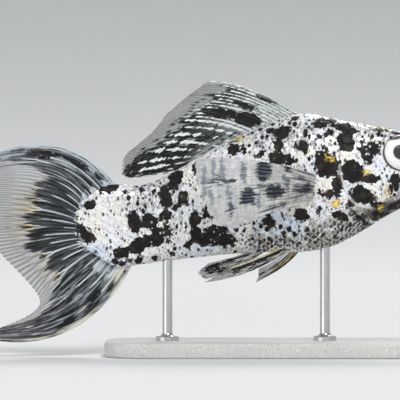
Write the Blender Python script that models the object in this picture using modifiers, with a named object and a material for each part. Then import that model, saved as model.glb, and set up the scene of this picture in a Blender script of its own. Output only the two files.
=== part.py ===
"""Life-size display model of a sailfin molly, a male of the lyre-tailed, black-marbled aquarium form.

The fish swims with its head to +X and its back to +Z. Its right side faces -Y. It is held over a flat
base by two rods. The origin is the middle of the base's underside. Sizes below are in millimetres.
"""

import math

import bmesh
import bpy
import numpy as np

MM = 0.001
GAP = 0.3

# Driving sizes of the fish
EYE_RADIUS = 3.6
EYE_DEPTH = 1.9
WEB_HALF = 0.26
RAY_HALF = 0.43
SWAY_FROM = 4.0
SWAY_AT_TAIL = 3.2
SWAY_LENGTH = 42.0

# Body sections from the tail's end to the snout:
# station x, back z, belly z, half width, share of the height where it is widest, upper and lower fullness
SECTIONS = (
    (-39.6, 32.6, 19.0, 0.55, 0.50, 2.2, 2.2),
    (-35.0, 33.6, 18.1, 1.15, 0.50, 2.2, 2.2),
    (-30.4, 34.2, 17.7, 1.90, 0.50, 2.2, 2.2),
    (-25.6, 34.0, 18.4, 2.70, 0.51, 2.1, 2.2),
    (-20.0, 36.2, 19.1, 3.70, 0.52, 2.0, 2.1),
    (-14.0, 39.7, 19.8, 4.70, 0.53, 1.9, 2.1),
    (-7.0, 43.4, 20.4, 5.60, 0.54, 1.9, 2.1),
    (0.0, 46.5, 20.7, 6.20, 0.54, 1.9, 2.1),
    (6.6, 48.3, 20.8, 6.50, 0.55, 2.0, 2.1),
    (12.4, 47.4, 21.9, 6.60, 0.55, 2.2, 2.0),
    (18.0, 46.4, 24.7, 6.40, 0.56, 2.6, 1.9),
    (23.0, 45.5, 27.7, 5.90, 0.60, 3.2, 1.9),
    (27.0, 44.6, 30.0, 5.20, 0.62, 3.4, 1.9),
    (30.0, 43.4, 32.4, 4.50, 0.62, 3.0, 2.0),
    (32.2, 42.0, 34.6, 3.80, 0.58, 2.6, 2.1),
    (33.6, 40.7, 36.1, 3.05, 0.54, 2.4, 2.2),
    (34.5, 39.5, 37.2, 2.25, 0.50, 2.2, 2.2),
    (34.9, 38.8, 37.9, 1.30, 0.50, 2.0, 2.0),
    (35.0, 38.4, 38.3, 0.25, 0.50, 2.0, 2.0),
)
RINGS_PER_SECTION = 3
RING_POINTS = 32

# Head
EYE_X = 25.9
EYE_Z = 40.5
EYE_SINK = 1.05
EYE_TILT = math.radians(9)
EYE_TURN = math.radians(12)
LIP_HEIGHT = 0.35
LIP_REACH = 0.75
LIP_START_X = 31.8
LIP_FULL_X = 33.2
NOSTRIL_X = 30.9
NOSTRIL_Z = 41.9
NOSTRIL_RADIUS = 0.42
COVER_LIFT = 0.2
COVER_THICK = 1.1
MOUTH_LINE = ((37.0, 38.7), (34.6, 38.4), (33.0, 37.7), (32.0, 36.4), (31.2, 34.4), (30.2, 31.0), (29.6, 29.0))
GILL_LINE = (
    (13.8, 52.0), (13.7, 46.0), (13.6, 40.5), (13.9, 36.6), (15.0, 33.3), (16.9, 30.2), (19.2, 27.6), (22.4, 24.2),
    (24.0, 22.0),
)
COVER_FRONT = ((19.6, 27.9), (21.6, 29.2), (22.5, 31.6), (22.2, 35.2), (21.4, 38.4), (19.6, 41.2), (16.6, 41.9))
TAIL_SEAM = ((-15.0, 56.0), (-15.6, 40.0), (-15.9, 29.0), (-15.6, 18.0), (-15.0, 10.0))

# Where the scaled flesh of the tail ends: its upper and lower corner and how far it bulges back between them
TAIL_TOP = (-31.2, 34.6)
TAIL_FOOT = (-28.2, 17.3)
TAIL_BULGE = 8.3

# Stand
BASE_LENGTH = 66.0
BASE_WIDTH = 30.0
BASE_HEIGHT = 3.0
BASE_CORNER = 10.0
BASE_EDGE = 0.5
ROD_RADIUS = 1.0
ROD_EDGE = 0.15
COLLAR_RADIUS = 2.3
COLLAR_HEIGHT = 0.9
COLLAR_FILLET = 0.8
ROD_X = {"front": 11.0, "rear": -20.5}

COLOURS = {
    "skin": (0.83, 0.84, 0.83),
    "cover": (0.80, 0.81, 0.80),
    "fin": (0.35, 0.36, 0.37),
    "eye": (0.88, 0.88, 0.84),
    "base": (0.70, 0.70, 0.68),
    "rod": (0.62, 0.62, 0.63),
}
FINISH = {"skin": (0.35, 0.1), "cover": (0.3, 0.15), "fin": (0.4, 0.0), "eye": (0.08, 0.0), "base": (0.5, 0.0),
          "rod": (0.25, 1.0)}


def curve_through(keys, place):
    """Point at a place (0 is the first key, 1 the second) on a smooth curve through the keys."""
    keys = np.asarray(keys, float)
    last = len(keys) - 1
    place = min(max(place, 0.0), last)
    i = min(int(place), last - 1)
    t = place - i
    a, b = keys[i], keys[i + 1]
    before = keys[i - 1] if i > 0 else 2 * a - b
    after = keys[i + 2] if i + 2 <= last else 2 * b - a
    return 0.5 * (
        2 * a + (b - before) * t + (2 * before - 5 * a + 4 * b - after) * t * t
        + (3 * a - before - 3 * b + after) * t**3
    )


def smooth_line(keys, steps):
    """A smooth line through the keys, with that many steps between neighbours."""
    return [curve_through(keys, k / steps) for k in range((len(keys) - 1) * steps + 1)]


def step_up(value, low, high):
    """0 below low, 1 above high, and smooth between."""
    t = min(max((value - low) / (high - low), 0.0), 1.0)
    return t * t * (3 - 2 * t)


def sway(x):
    """Sideways place of the fish's middle plane, which swings over towards the tail."""
    return -SWAY_AT_TAIL * (max(SWAY_FROM - x, 0.0) / SWAY_LENGTH) ** 2


PLACES = np.linspace(0, len(SECTIONS) - 1, 400)
PLACE_X = np.array([curve_through(SECTIONS, p)[0] for p in PLACES])


def section_at(x):
    """The body's section at a station."""
    return curve_through(SECTIONS, float(np.interp(x, PLACE_X, PLACES)))


def mouth_height(x):
    """Height of the line between the lips."""
    line = sorted(MOUTH_LINE)
    return float(np.interp(x, [p[0] for p in line], [p[1] for p in line]))


def ring_point(section, angle, grow):
    """Point of a section's ring, measured from the back round by +Y, with the whole ring grown by that much."""
    x, back, belly, half, level, upper, lower = section
    widest = belly + level * (back - belly)
    up = math.cos(angle)
    out = math.sin(angle)
    fullness = upper if up >= 0 else lower
    reach = (back - widest if up >= 0 else widest - belly) + grow
    y = (half + grow) * math.copysign(abs(out) ** (2 / fullness), out)
    z = widest + reach * math.copysign(abs(up) ** (2 / fullness), up)
    lip = LIP_HEIGHT * step_up(x, LIP_START_X, LIP_FULL_X) * math.exp(-(((z - mouth_height(x)) / LIP_REACH) ** 2))
    length = math.hypot(y, z - widest) + 1e-9
    y += lip * y / length
    z += lip * (z - widest) / length
    return x + 0.6 * lip, y, z


def half_width(x, z):
    """How far the body reaches to the side at that station and height."""
    _, back, belly, half, level, upper, lower = section_at(x)
    widest = belly + level * (back - belly)
    reach = back - widest if z >= widest else widest - belly
    fullness = upper if z >= widest else lower
    share = min(abs(z - widest) / reach, 1.0)
    return half * (1 - share**fullness) ** (1 / fullness)


def belly_height(x, aside):
    """Height of the belly's surface that far beside the middle plane."""
    _, back, belly, half, level, _, lower = section_at(x)
    widest = belly + level * (back - belly)
    share = min(abs(aside) / half, 1.0)
    return widest - (widest - belly) * (1 - share**lower) ** (1 / lower)


def back_height(x):
    """Height of the back's ridge."""
    return section_at(x)[1]


def surface_slope(x, z):
    """Outward direction of the body's +Y side at that station and height."""
    step = 0.3
    along = (half_width(x + step, z) - half_width(x - step, z)) / (2 * step)
    up = (half_width(x, z + step) - half_width(x, z - step)) / (2 * step)
    normal = np.array([-along, 1.0, -up])
    return normal / np.linalg.norm(normal)


def clear_scene():
    for obj in list(bpy.data.objects):
        bpy.data.objects.remove(obj)


def collection(name):
    made = bpy.data.collections.new(name)
    bpy.context.scene.collection.children.link(made)
    return made


def material(kind):
    """The finish of one kind of surface, made once."""
    name = kind
    if name in bpy.data.materials:
        return bpy.data.materials[name]
    made = bpy.data.materials.new(name)
    made.use_nodes = True
    shader = made.node_tree.nodes["Principled BSDF"]
    shader.inputs["Base Color"].default_value = (*COLOURS[kind], 1.0)
    shader.inputs["Roughness"].default_value = FINISH[kind][0]
    shader.inputs["Metallic"].default_value = FINISH[kind][1]
    return made


def add_object(name, mesh, group, kind=None):
    obj = bpy.data.objects.new(name, mesh)
    group.objects.link(obj)
    if kind:
        mesh.materials.clear()
        mesh.materials.append(material(kind))
    else:
        obj.hide_render = True
        obj.display_type = "WIRE"
    return obj


def mesh_from(bm, name):
    mesh = bpy.data.meshes.new(name)
    bm.to_mesh(mesh)
    bm.free()
    return mesh


def body_mesh(name, grow=0.0):
    """The whole body as one closed loft, grown outwards by that much."""
    bm = bmesh.new()
    rings = []
    for k in range((len(SECTIONS) - 1) * RINGS_PER_SECTION + 1):
        section = curve_through(SECTIONS, k / RINGS_PER_SECTION)
        ring = []
        for j in range(RING_POINTS):
            x, y, z = ring_point(section, 2 * math.pi * j / RING_POINTS, grow)
            ring.append(bm.verts.new((x * MM, (y + sway(x)) * MM, z * MM)))
        rings.append(ring)
    for low, high in zip(rings, rings[1:]):
        for j in range(RING_POINTS):
            following = (j + 1) % RING_POINTS
            bm.faces.new((low[j], low[following], high[following], high[j]))
    bm.faces.new(reversed(rings[0]))
    bm.faces.new(rings[-1])
    bmesh.ops.recalc_face_normals(bm, faces=bm.faces)
    return mesh_from(bm, name)


def solid_of(obj):
    """A mesh object with the evaluated shape of obj, in world space; obj is removed."""
    bpy.context.view_layer.update()
    evaluated = obj.evaluated_get(bpy.context.evaluated_depsgraph_get())
    mesh = bpy.data.meshes.new_from_object(evaluated)
    mesh.transform(obj.matrix_world)
    bm = bmesh.new()
    bm.from_mesh(mesh)
    bmesh.ops.remove_doubles(bm, verts=bm.verts, dist=1e-6)
    bmesh.ops.recalc_face_normals(bm, faces=bm.faces)
    bm.to_mesh(mesh)
    bm.free()
    name, group, hidden = obj.name, obj.users_collection[0], obj.hide_render
    bpy.data.objects.remove(obj)
    made = bpy.data.objects.new(name, mesh)
    made.hide_render = hidden
    group.objects.link(made)
    return made


def slab(name, outline, y_from, y_to, group):
    """A closed outline in the side view, extruded across the fish from y_from to y_to."""
    flat = bpy.data.curves.new(name, "CURVE")
    flat.dimensions = "2D"
    flat.fill_mode = "BOTH"
    flat.extrude = (y_to - y_from) / 2 * MM
    spline = flat.splines.new("POLY")
    spline.points.add(len(outline) - 1)
    spline.use_cyclic_u = True
    for point, (x, z) in zip(spline.points, outline):
        point.co = (x * MM, z * MM, 0, 1)
    obj = bpy.data.objects.new(name, flat)
    obj.rotation_euler = (math.pi / 2, 0, 0)
    obj.location = (0, (y_from + y_to) / 2 * MM, 0)
    obj.hide_render = True
    obj.display_type = "WIRE"
    group.objects.link(obj)
    return solid_of(obj)


def beside(line, distance):
    """The line moved sideways, to the left of its direction."""
    points = np.asarray(line, float)
    along = np.gradient(points, axis=0)
    along /= np.linalg.norm(along, axis=1)[:, None]
    return points + distance * np.stack([-along[:, 1], along[:, 0]], axis=1)


def thin_cut(name, keys, group):
    """A sheet as thick as the gap, along a line in the side view and right through the fish."""
    line = smooth_line(keys, 4)
    outline = [*beside(line, GAP / 2), *beside(line, -GAP / 2)[::-1]]
    return slab(name, outline, -14, 14, group)


def combine(obj, other, operation):
    """Joins or cuts obj with other, and applies it."""
    change = obj.modifiers.new(operation.title(), "BOOLEAN")
    change.operation = operation
    change.object = other
    change.solver = "EXACT"
    bpy.context.view_layer.update()
    evaluated = obj.evaluated_get(bpy.context.evaluated_depsgraph_get())
    mesh = bpy.data.meshes.new_from_object(evaluated)
    obj.modifiers.clear()
    obj.data = mesh
    return obj


def tail_edge(share, beyond=0.0):
    """Point where the scaled flesh ends, from the upper corner (0) to the lower (1), moved back by beyond."""
    swing = 2 * share - 1
    x = TAIL_TOP[0] + (TAIL_FOOT[0] - TAIL_TOP[0]) * share - (TAIL_BULGE + beyond) * (1 - swing**2) ** 0.85
    z = TAIL_TOP[1] + (TAIL_FOOT[1] - TAIL_TOP[1]) * share
    corner = abs(swing) ** 3
    return np.array([x - beyond * corner * 0.7, z - math.copysign(beyond * corner * 0.7, swing)])


def split_body(group, cutters):
    """Parts the whole body with thin cuts into tail stem, torso, head and lower jaw."""
    whole = add_object("whole_body", body_mesh("whole_body"), group, "skin")
    edge = [tail_edge(k / 24) for k in range(25)]
    behind = slab("behind_tail", [(-24, 56), *edge, (-24, 8), (-60, 8), (-60, 56)], -14, 14, cutters)
    combine(whole, behind, "DIFFERENCE")
    for name, line in (("tail_seam", TAIL_SEAM), ("gill_seam", GILL_LINE), ("mouth_seam", MOUTH_LINE)):
        combine(whole, thin_cut(name, line, cutters), "DIFFERENCE")
    bpy.ops.object.select_all(action="DESELECT")
    bpy.context.view_layer.objects.active = whole
    whole.select_set(True)
    bpy.ops.mesh.separate(type="LOOSE")
    loose = [o for o in group.objects if o.name.startswith("whole_body")]
    loose.sort(key=lambda o: sum(v.co.x for v in o.data.vertices) / len(o.data.vertices))
    for obj, name in zip(loose, ("tail_stem", "torso", "head", "lower_jaw")):
        obj.name = name
        obj.data.name = name
    return {o.name: o for o in loose}


def gill_cover(side, head, group, cutters):
    """A gill cover plate on one side, let into a recess in the head."""
    rear = [p for p in smooth_line(GILL_LINE, 4) if 27.8 < p[1] < 41.6]
    rear = beside(rear, GAP / 2)
    outline = [*rear, *smooth_line(COVER_FRONT, 3)]
    near, far = sorted((side * 1.5, side * 13))
    label = "left" if side > 0 else "right"
    middle = np.mean(outline, axis=0)
    wide = [p + (p - middle) / np.linalg.norm(p - middle) * GAP for p in np.asarray(outline)]
    core = add_object(f"core_{label}", body_mesh("core", -COVER_THICK - GAP), cutters)
    recess = slab(f"recess_{label}", wide, near, far, cutters)
    combine(recess, core, "DIFFERENCE")
    combine(head, recess, "DIFFERENCE")
    plate = slab(f"plate_{label}", outline, near, far, cutters)
    skin = add_object(f"cover_skin_{label}", body_mesh("cover_skin", COVER_LIFT), cutters)
    back = add_object(f"cover_back_{label}", body_mesh("cover_back", -COVER_THICK), cutters)
    combine(plate, skin, "INTERSECT")
    combine(plate, back, "DIFFERENCE")
    keep_largest(plate)
    return add_object(f"gill_cover_{label}", plate.data.copy(), group, "cover")


def keep_largest(obj):
    """Drops all but the largest closed surface of a mesh."""
    bm = bmesh.new()
    bm.from_mesh(obj.data)
    left = set(bm.verts)
    islands = []
    while left:
        front = [left.pop()]
        island = set(front)
        while front:
            for edge in front.pop().link_edges:
                for vertex in edge.verts:
                    if vertex in left:
                        left.discard(vertex)
                        island.add(vertex)
                        front.append(vertex)
        islands.append(island)
    islands.sort(key=len)
    for island in islands[:-1]:
        bmesh.ops.delete(bm, geom=list(island), context="VERTS")
    bm.to_mesh(obj.data)
    bm.free()


def eye(side, head, group, cutters):
    """An eye as a flattened ball turned a little up and forward, in a socket of the head."""
    label = "left" if side > 0 else "right"
    y = side * (half_width(EYE_X, EYE_Z) - EYE_SINK)
    for name, grow, kind, home in ((f"socket_{label}", GAP, None, cutters), (f"eye_{label}", 0.0, "eye", group)):
        bm = bmesh.new()
        bmesh.ops.create_uvsphere(bm, u_segments=20, v_segments=12, radius=1.0)
        obj = add_object(name, mesh_from(bm, name), home, kind)
        radius = EYE_RADIUS + grow
        depth = EYE_DEPTH + grow
        obj.data.transform(((radius * MM, 0, 0, 0), (0, radius * MM, 0, 0), (0, 0, depth * MM, 0), (0, 0, 0, 1)))
        obj.rotation_euler = (-side * (math.pi / 2 - EYE_TILT), 0, -side * EYE_TURN)
        obj.location = (EYE_X * MM, y * MM, EYE_Z * MM)
        if kind is None:
            combine(head, solid_of(obj), "DIFFERENCE")
    return obj


def nostril(side, head, cutters):
    """A small pit in front of the eye."""
    normal = surface_slope(NOSTRIL_X, NOSTRIL_Z)
    at = np.array([NOSTRIL_X, half_width(NOSTRIL_X, NOSTRIL_Z), NOSTRIL_Z]) - 0.1 * normal
    bm = bmesh.new()
    bmesh.ops.create_icosphere(bm, subdivisions=2, radius=NOSTRIL_RADIUS * MM)
    obj = add_object(f"nostril_{side}", mesh_from(bm, "nostril"), cutters)
    obj.location = (at[0] * MM, side * at[1] * MM, at[2] * MM)
    combine(head, solid_of(obj), "DIFFERENCE")


def ray_point(keys, places, share, along):
    """Point of a fin: share runs across its rays from 0 to 1, along runs out from the root."""
    ray = curve_through(keys, float(np.interp(share, places, range(len(places))))).reshape(4, 3)
    t = along
    return ray[0] * (1 - t) ** 3 + 3 * ray[1] * t * (1 - t) ** 2 + 3 * ray[2] * t * t * (1 - t) + ray[3] * t**3


def fin(name, keys, places, rays, rows, group, root_half=0.0, root_spread=None, span=(0, 1), inset=(0, 0), ruffle=None):
    """A fin as one closed membrane whose rays are ridges on both faces.

    keys are rays given by four points each, and places says where across the fin each one lies. span is the
    stretch of the fin that this node holds.
    """
    keys = [np.asarray(key, float).reshape(12) for key in keys]
    spacing = 1 / (rays - 1)
    foot = 0.27 * spacing
    columns = [(0.0, True), (foot, False)]
    for i in range(1, rays - 1):
        columns += [(i * spacing - foot, False), (i * spacing, True), (i * spacing + foot, False)]
    columns += [(1 - foot, False), (1.0, True)]
    small = 1e-3

    def place(share, along):
        share = min(max(span[0] + share * (span[1] - span[0]), 0), 1)
        point = ray_point(keys, places, share, along)
        if ruffle:
            point = point + np.array([0.0, ruffle(share, along), 0.0])
        return point + np.array([0.0, sway(point[0]), 0.0])

    faces = {}
    for c, (share, crest) in enumerate(columns):
        for r in range(rows + 1):
            t = r / rows
            at = place(share, t)
            across = place(share + small, t) - place(share - small, t)
            out = place(share, min(t + small, 1)) - place(share, max(t - small, 0))
            normal = np.cross(out, across)
            normal /= np.linalg.norm(normal)
            half = WEB_HALF + (RAY_HALF - WEB_HALF) * (1 - 0.6 * t) * crest + root_half * math.exp(-t / 0.07)
            if t == 1:
                half *= 0.75
            if root_spread is not None and r == 0:
                normal = root_spread * np.sign(np.dot(root_spread, normal))
            aside = across - out * np.dot(across, out) / np.dot(out, out)
            aside /= np.linalg.norm(aside)
            at = at + aside * (inset[0] * (c == 0) - inset[1] * (c == len(columns) - 1))
            faces[c, r] = (at + normal * half, at - normal * half)
    bm = bmesh.new()
    bmesh.ops.create_grid(bm, x_segments=len(columns) - 1, y_segments=rows, size=1)
    bmesh.ops.triangulate(bm, faces=bm.faces, quad_method="FIXED")
    index = {v: (round((v.co.x + 1) / 2 * (len(columns) - 1)), round((v.co.y + 1) / 2 * rows)) for v in bm.verts}
    front_faces = list(bm.faces)
    rim = [e for e in bm.edges if e.is_boundary]
    back = {v: bm.verts.new((faces[at][1] * MM)) for v, at in index.items()}
    for v, at in index.items():
        v.co = faces[at][0] * MM
    for face in front_faces:
        bm.faces.new([back[v] for v in reversed(face.verts)])
    for edge in rim:
        a, b = edge.verts
        bm.faces.new((a, b, back[b]))
        bm.faces.new((a, back[b], back[a]))
    bmesh.ops.recalc_face_normals(bm, faces=bm.faces)
    return add_object(name, mesh_from(bm, name), group, "fin")


def flat_ray(points):
    """A ray in the middle plane from four side-view points."""
    return [(x, 0.0, z) for x, z in points]


def dorsal_fin(group):
    """The sail, with its rays swept back over the tail stem."""
    # station of the root, then three points of the ray measured from its root
    rays = (
        (6.6, (-5.6, 2.4), (-13.0, 6.9), (-19.2, 6.2)),
        (2.4, (-5.4, 2.6), (-12.4, 4.6), (-19.6, 3.6)),
        (-2.2, (-4.8, 1.9), (-11.8, 3.2), (-18.4, 2.2)),
        (-6.4, (-5.2, 1.1), (-11.6, 1.6), (-18.0, -0.2)),
        (-10.8, (-5.2, 0.2), (-12.2, 0.2), (-18.0, -1.7)),
        (-13.2, (-4.6, -1.2), (-11.8, -2.2), (-16.4, -3.6)),
        (-15.4, (-3.8, -1.3), (-8.6, -2.7), (-13.6, -3.3)),
        (-18.2, (-2.8, -0.9), (-6.2, -1.8), (-9.6, -2.0)),
    )
    keys = []
    for x, *moves in rays:
        root = (x, back_height(x) + GAP)
        keys.append(flat_ray([root, *[(x + dx, root[1] + dz) for dx, dz in moves]]))
    places = (0, 0.18, 0.36, 0.54, 0.70, 0.82, 0.91, 1)

    def ruffle(share, along):
        return 0.9 * math.sin(2.2 * math.pi * share + 0.6) * along**2

    return fin("dorsal_fin", keys, places, 14, 8, group, root_half=0.12, ruffle=ruffle)


def caudal_fins(group):
    """The lyre tail in three nodes: its upper lobe, the fan in the middle and its lower lobe."""
    # share of the flesh's edge where the ray starts, then its other three points
    rays = (
        (0.0, (-35.6, 40.6), (-45.6, 46.6), (-63.6, 37.0)),
        (0.13, (-39.4, 39.0), (-48.4, 41.4), (-60.0, 36.6)),
        (0.26, (-39.8, 35.4), (-47.2, 38.2), (-56.6, 36.0)),
        (0.40, (-42.0, 31.4), (-49.0, 32.8), (-56.2, 32.2)),
        (0.50, (-43.0, 27.6), (-49.2, 27.6), (-55.8, 27.6)),
        (0.62, (-42.4, 23.6), (-48.4, 22.2), (-53.8, 21.2)),
        (0.78, (-39.2, 18.8), (-43.2, 14.8), (-45.8, 10.9)),
        (0.90, (-36.6, 12.8), (-42.4, 7.0), (-53.6, 5.7)),
        (1.0, (-31.6, 10.0), (-42.0, -1.9), (-60.8, 4.8)),
    )
    keys = []
    for share, *points in rays:
        root = tail_edge(share, GAP)
        keys.append(flat_ray([root, *points]))
    places = [key[0] for key in rays]

    def ruffle(share, along):
        return (1.1 * math.sin(3.0 * math.pi * share + 0.8) + 1.4 * (2 * share - 1) ** 2) * along**2

    nodes = (
        ("upper", 0.0, 0.26, 6, (0, GAP / 2)),
        ("middle", 0.26, 0.78, 9, (GAP / 2, GAP / 2)),
        ("lower", 0.78, 1.0, 6, (GAP / 2, 0)),
    )
    for label, low, high, number, inset in nodes:
        fin(f"caudal_fin_{label}", keys, places, number, 10, group, root_half=0.35, span=(low, high), inset=inset,
            ruffle=ruffle)


def pectoral_fin(side, group):
    """A fan on the flank just behind the gill cover, held out from the body."""
    # station and height of the root, then three points of the ray; the middle number is how far out it stands
    rays = (
        ((9.6, 35.4), (4.4, 3.4, 38.2), (-6.0, 5.4, 39.8), (-14.6, 7.6, 39.2)),
        ((9.5, 34.4), (4.0, 3.6, 36.2), (-6.0, 5.8, 37.4), (-14.8, 8.2, 36.6)),
        ((9.3, 33.2), (3.6, 3.6, 33.4), (-5.6, 5.8, 33.4), (-13.8, 8.2, 32.4)),
        ((9.1, 32.0), (3.8, 3.3, 31.2), (-4.4, 5.2, 29.8), (-11.4, 7.2, 27.6)),
        ((8.9, 31.0), (4.0, 2.8, 30.0), (-2.0, 4.2, 28.4), (-7.6, 5.6, 25.4)),
    )
    label = "left" if side > 0 else "right"
    keys = []
    for (x, z), *points in rays:
        skin = half_width(x, z)
        normal = surface_slope(x, z)
        root = np.array([x, skin, z]) + GAP * normal
        keys.append([(root[0], side * root[1], root[2])] + [(px, side * (skin + py), pz) for px, py, pz in points])
    spread = surface_slope(9.2, 33.2)
    spread = np.array([spread[1], -side * spread[0], 0.0])
    places = (0, 0.25, 0.5, 0.75, 1)
    return fin(f"pectoral_fin_{label}", keys, places, 12, 7, group, root_half=0.3,
               root_spread=spread / np.linalg.norm(spread))


def belly_fin(name, rays, aside, side, number, rows, group):
    """A fin rooted on the belly; each ray is its root's station, then three points with how far aside each is."""
    keys = []
    for x, *points in rays:
        root = (x, side * aside, belly_height(x, aside) - GAP)
        keys.append([root, *[(px, side * py, pz) for px, py, pz in points]])
    places = np.linspace(0, 1, len(rays))
    return fin(name, keys, places, number, rows, group, root_half=0.1)


def pelvic_fins(group):
    """The near fin lies back along the belly; the far one hangs lower."""
    near = (
        (4.8, (0.4, 2.3, 18.6), (-5.0, 2.8, 15.6), (-12.8, 3.2, 14.8)),
        (3.8, (-0.4, 2.3, 19.4), (-5.0, 2.9, 17.4), (-11.0, 3.4, 15.8)),
        (2.6, (-1.0, 2.2, 20.0), (-4.6, 2.8, 18.9), (-8.4, 3.4, 17.6)),
    )
    far = (
        (6.6, (4.4, 2.6, 18.6), (1.2, 3.6, 16.4), (-2.8, 4.6, 14.5)),
        (5.4, (3.2, 2.5, 18.9), (0.6, 3.4, 17.3), (-2.2, 4.2, 15.8)),
        (4.2, (2.0, 2.3, 19.2), (0.0, 3.0, 18.2), (-2.2, 3.8, 17.2)),
    )
    belly_fin("pelvic_fin_right", near, 1.9, -1, 7, 7, group)
    belly_fin("pelvic_fin_left", far, 1.9, 1, 7, 6, group)


def anal_fin(group):
    """The male's narrow, lengthened anal fin, swept back under the tail stem."""
    rays = (
        (-0.4, (-3.6, 0.0, 18.8), (-7.0, 0.0, 17.0), (-12.8, 0.0, 15.2)),
        (-2.0, (-5.4, 0.0, 19.4), (-9.0, 0.0, 18.2), (-14.2, 0.0, 16.6)),
        (-3.8, (-6.0, 0.0, 19.9), (-9.0, 0.0, 19.3), (-12.4, 0.0, 18.4)),
    )
    return belly_fin("anal_fin", rays, 0.0, 1, 6, 7, group)


def stand(group):
    """A flat base with rounded corners, and two rods up to the belly."""
    flat = bpy.data.curves.new("stand_base", "CURVE")
    flat.dimensions = "2D"
    flat.fill_mode = "BOTH"
    flat.extrude = BASE_HEIGHT / 2 * MM
    outline = []
    for corner in range(4):
        cx = (BASE_LENGTH / 2 - BASE_CORNER) * (1 if corner in (0, 3) else -1)
        cy = (BASE_WIDTH / 2 - BASE_CORNER) * (1 if corner in (0, 1) else -1)
        for k in range(7):
            angle = math.pi / 2 * (corner + k / 6)
            outline.append((cx + BASE_CORNER * math.cos(angle), cy + BASE_CORNER * math.sin(angle)))
    spline = flat.splines.new("POLY")
    spline.points.add(len(outline) - 1)
    spline.use_cyclic_u = True
    for point, (x, y) in zip(spline.points, outline):
        point.co = (x * MM, y * MM, 0, 1)
    base = bpy.data.objects.new("stand_base", flat)
    base.location = (0, 0, BASE_HEIGHT / 2 * MM)
    group.objects.link(base)
    base = solid_of(base)
    base.data.materials.clear()
    base.data.materials.append(material("base"))
    edge = base.modifiers.new("Edge", "BEVEL")
    edge.width = BASE_EDGE * MM
    edge.segments = 2
    edge.angle_limit = math.radians(40)
    for label, x in ROD_X.items():
        stand_rod(label, x, group)


def stand_rod(label, x, group):
    """A turned rod with a collar at its foot, just short of the belly above it."""
    foot = BASE_HEIGHT + GAP
    top = min(belly_height(x + dx, 0.0) for dx in (-ROD_RADIUS, 0, ROD_RADIUS)) - GAP
    shoulder = foot + COLLAR_HEIGHT
    profile = [(0, top), (ROD_RADIUS - ROD_EDGE, top), (ROD_RADIUS, top - ROD_EDGE)]
    for k in range(5):
        angle = math.pi / 2 * k / 4
        profile.append((ROD_RADIUS + COLLAR_FILLET * (1 - math.cos(angle)),
                        shoulder + COLLAR_FILLET * (1 - math.sin(angle))))
    profile += [(COLLAR_RADIUS - ROD_EDGE, shoulder), (COLLAR_RADIUS, shoulder - ROD_EDGE), (COLLAR_RADIUS, foot),
                (0, foot)]
    mesh = bpy.data.meshes.new(f"stand_rod_{label}")
    points = [(r * MM, 0, z * MM) for r, z in profile]
    mesh.from_pydata(points, [(k, k + 1) for k in range(len(points) - 1)], [])
    rod = bpy.data.objects.new(f"stand_rod_{label}", mesh)
    group.objects.link(rod)
    turn = rod.modifiers.new("Turn", "SCREW")
    turn.steps = 20
    turn.render_steps = 20
    turn.use_merge_vertices = True
    turn.merge_threshold = 1e-6
    rod.location = (x * MM, sway(x) * MM, 0)
    rod = solid_of(rod)
    rod.data.materials.append(material("rod"))


def main():
    clear_scene()
    fish = collection("sailfin_molly")
    cutters = collection("cutters")
    cutters.hide_render = True
    parts = split_body(fish, cutters)
    for side in (1, -1):
        gill_cover(side, parts["head"], fish, cutters)
        eye(side, parts["head"], fish, cutters)
        nostril(side, parts["head"], cutters)
        pectoral_fin(side, fish)
    dorsal_fin(fish)
    caudal_fins(fish)
    pelvic_fins(fish)
    anal_fin(fish)
    stand(fish)
    for obj in fish.objects:
        if obj.type == "MESH":
            obj.data.shade_smooth()
            obj.data.set_sharp_from_angle(angle=math.radians(40))


main()
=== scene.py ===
"""Looks of the life-size sailfin molly model, a marbled male with a lyre tail, on its display stand.

The fish's head points to +X, its back to +Z, and its right side to -Y. Shapes are worked out in
millimetres in the frame's own axes and become metres when their mesh is made.
"""

import math

import bmesh
import bpy
import numpy as np
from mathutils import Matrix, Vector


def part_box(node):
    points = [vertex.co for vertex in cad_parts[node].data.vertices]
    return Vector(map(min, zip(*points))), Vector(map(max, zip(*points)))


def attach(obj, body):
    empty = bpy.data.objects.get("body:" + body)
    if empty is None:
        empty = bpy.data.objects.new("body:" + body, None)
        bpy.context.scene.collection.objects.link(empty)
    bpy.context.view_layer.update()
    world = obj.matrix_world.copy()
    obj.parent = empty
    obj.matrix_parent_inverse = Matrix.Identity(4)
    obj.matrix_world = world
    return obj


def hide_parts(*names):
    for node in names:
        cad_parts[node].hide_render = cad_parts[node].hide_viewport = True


MM = 0.001
SEED = 11

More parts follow.
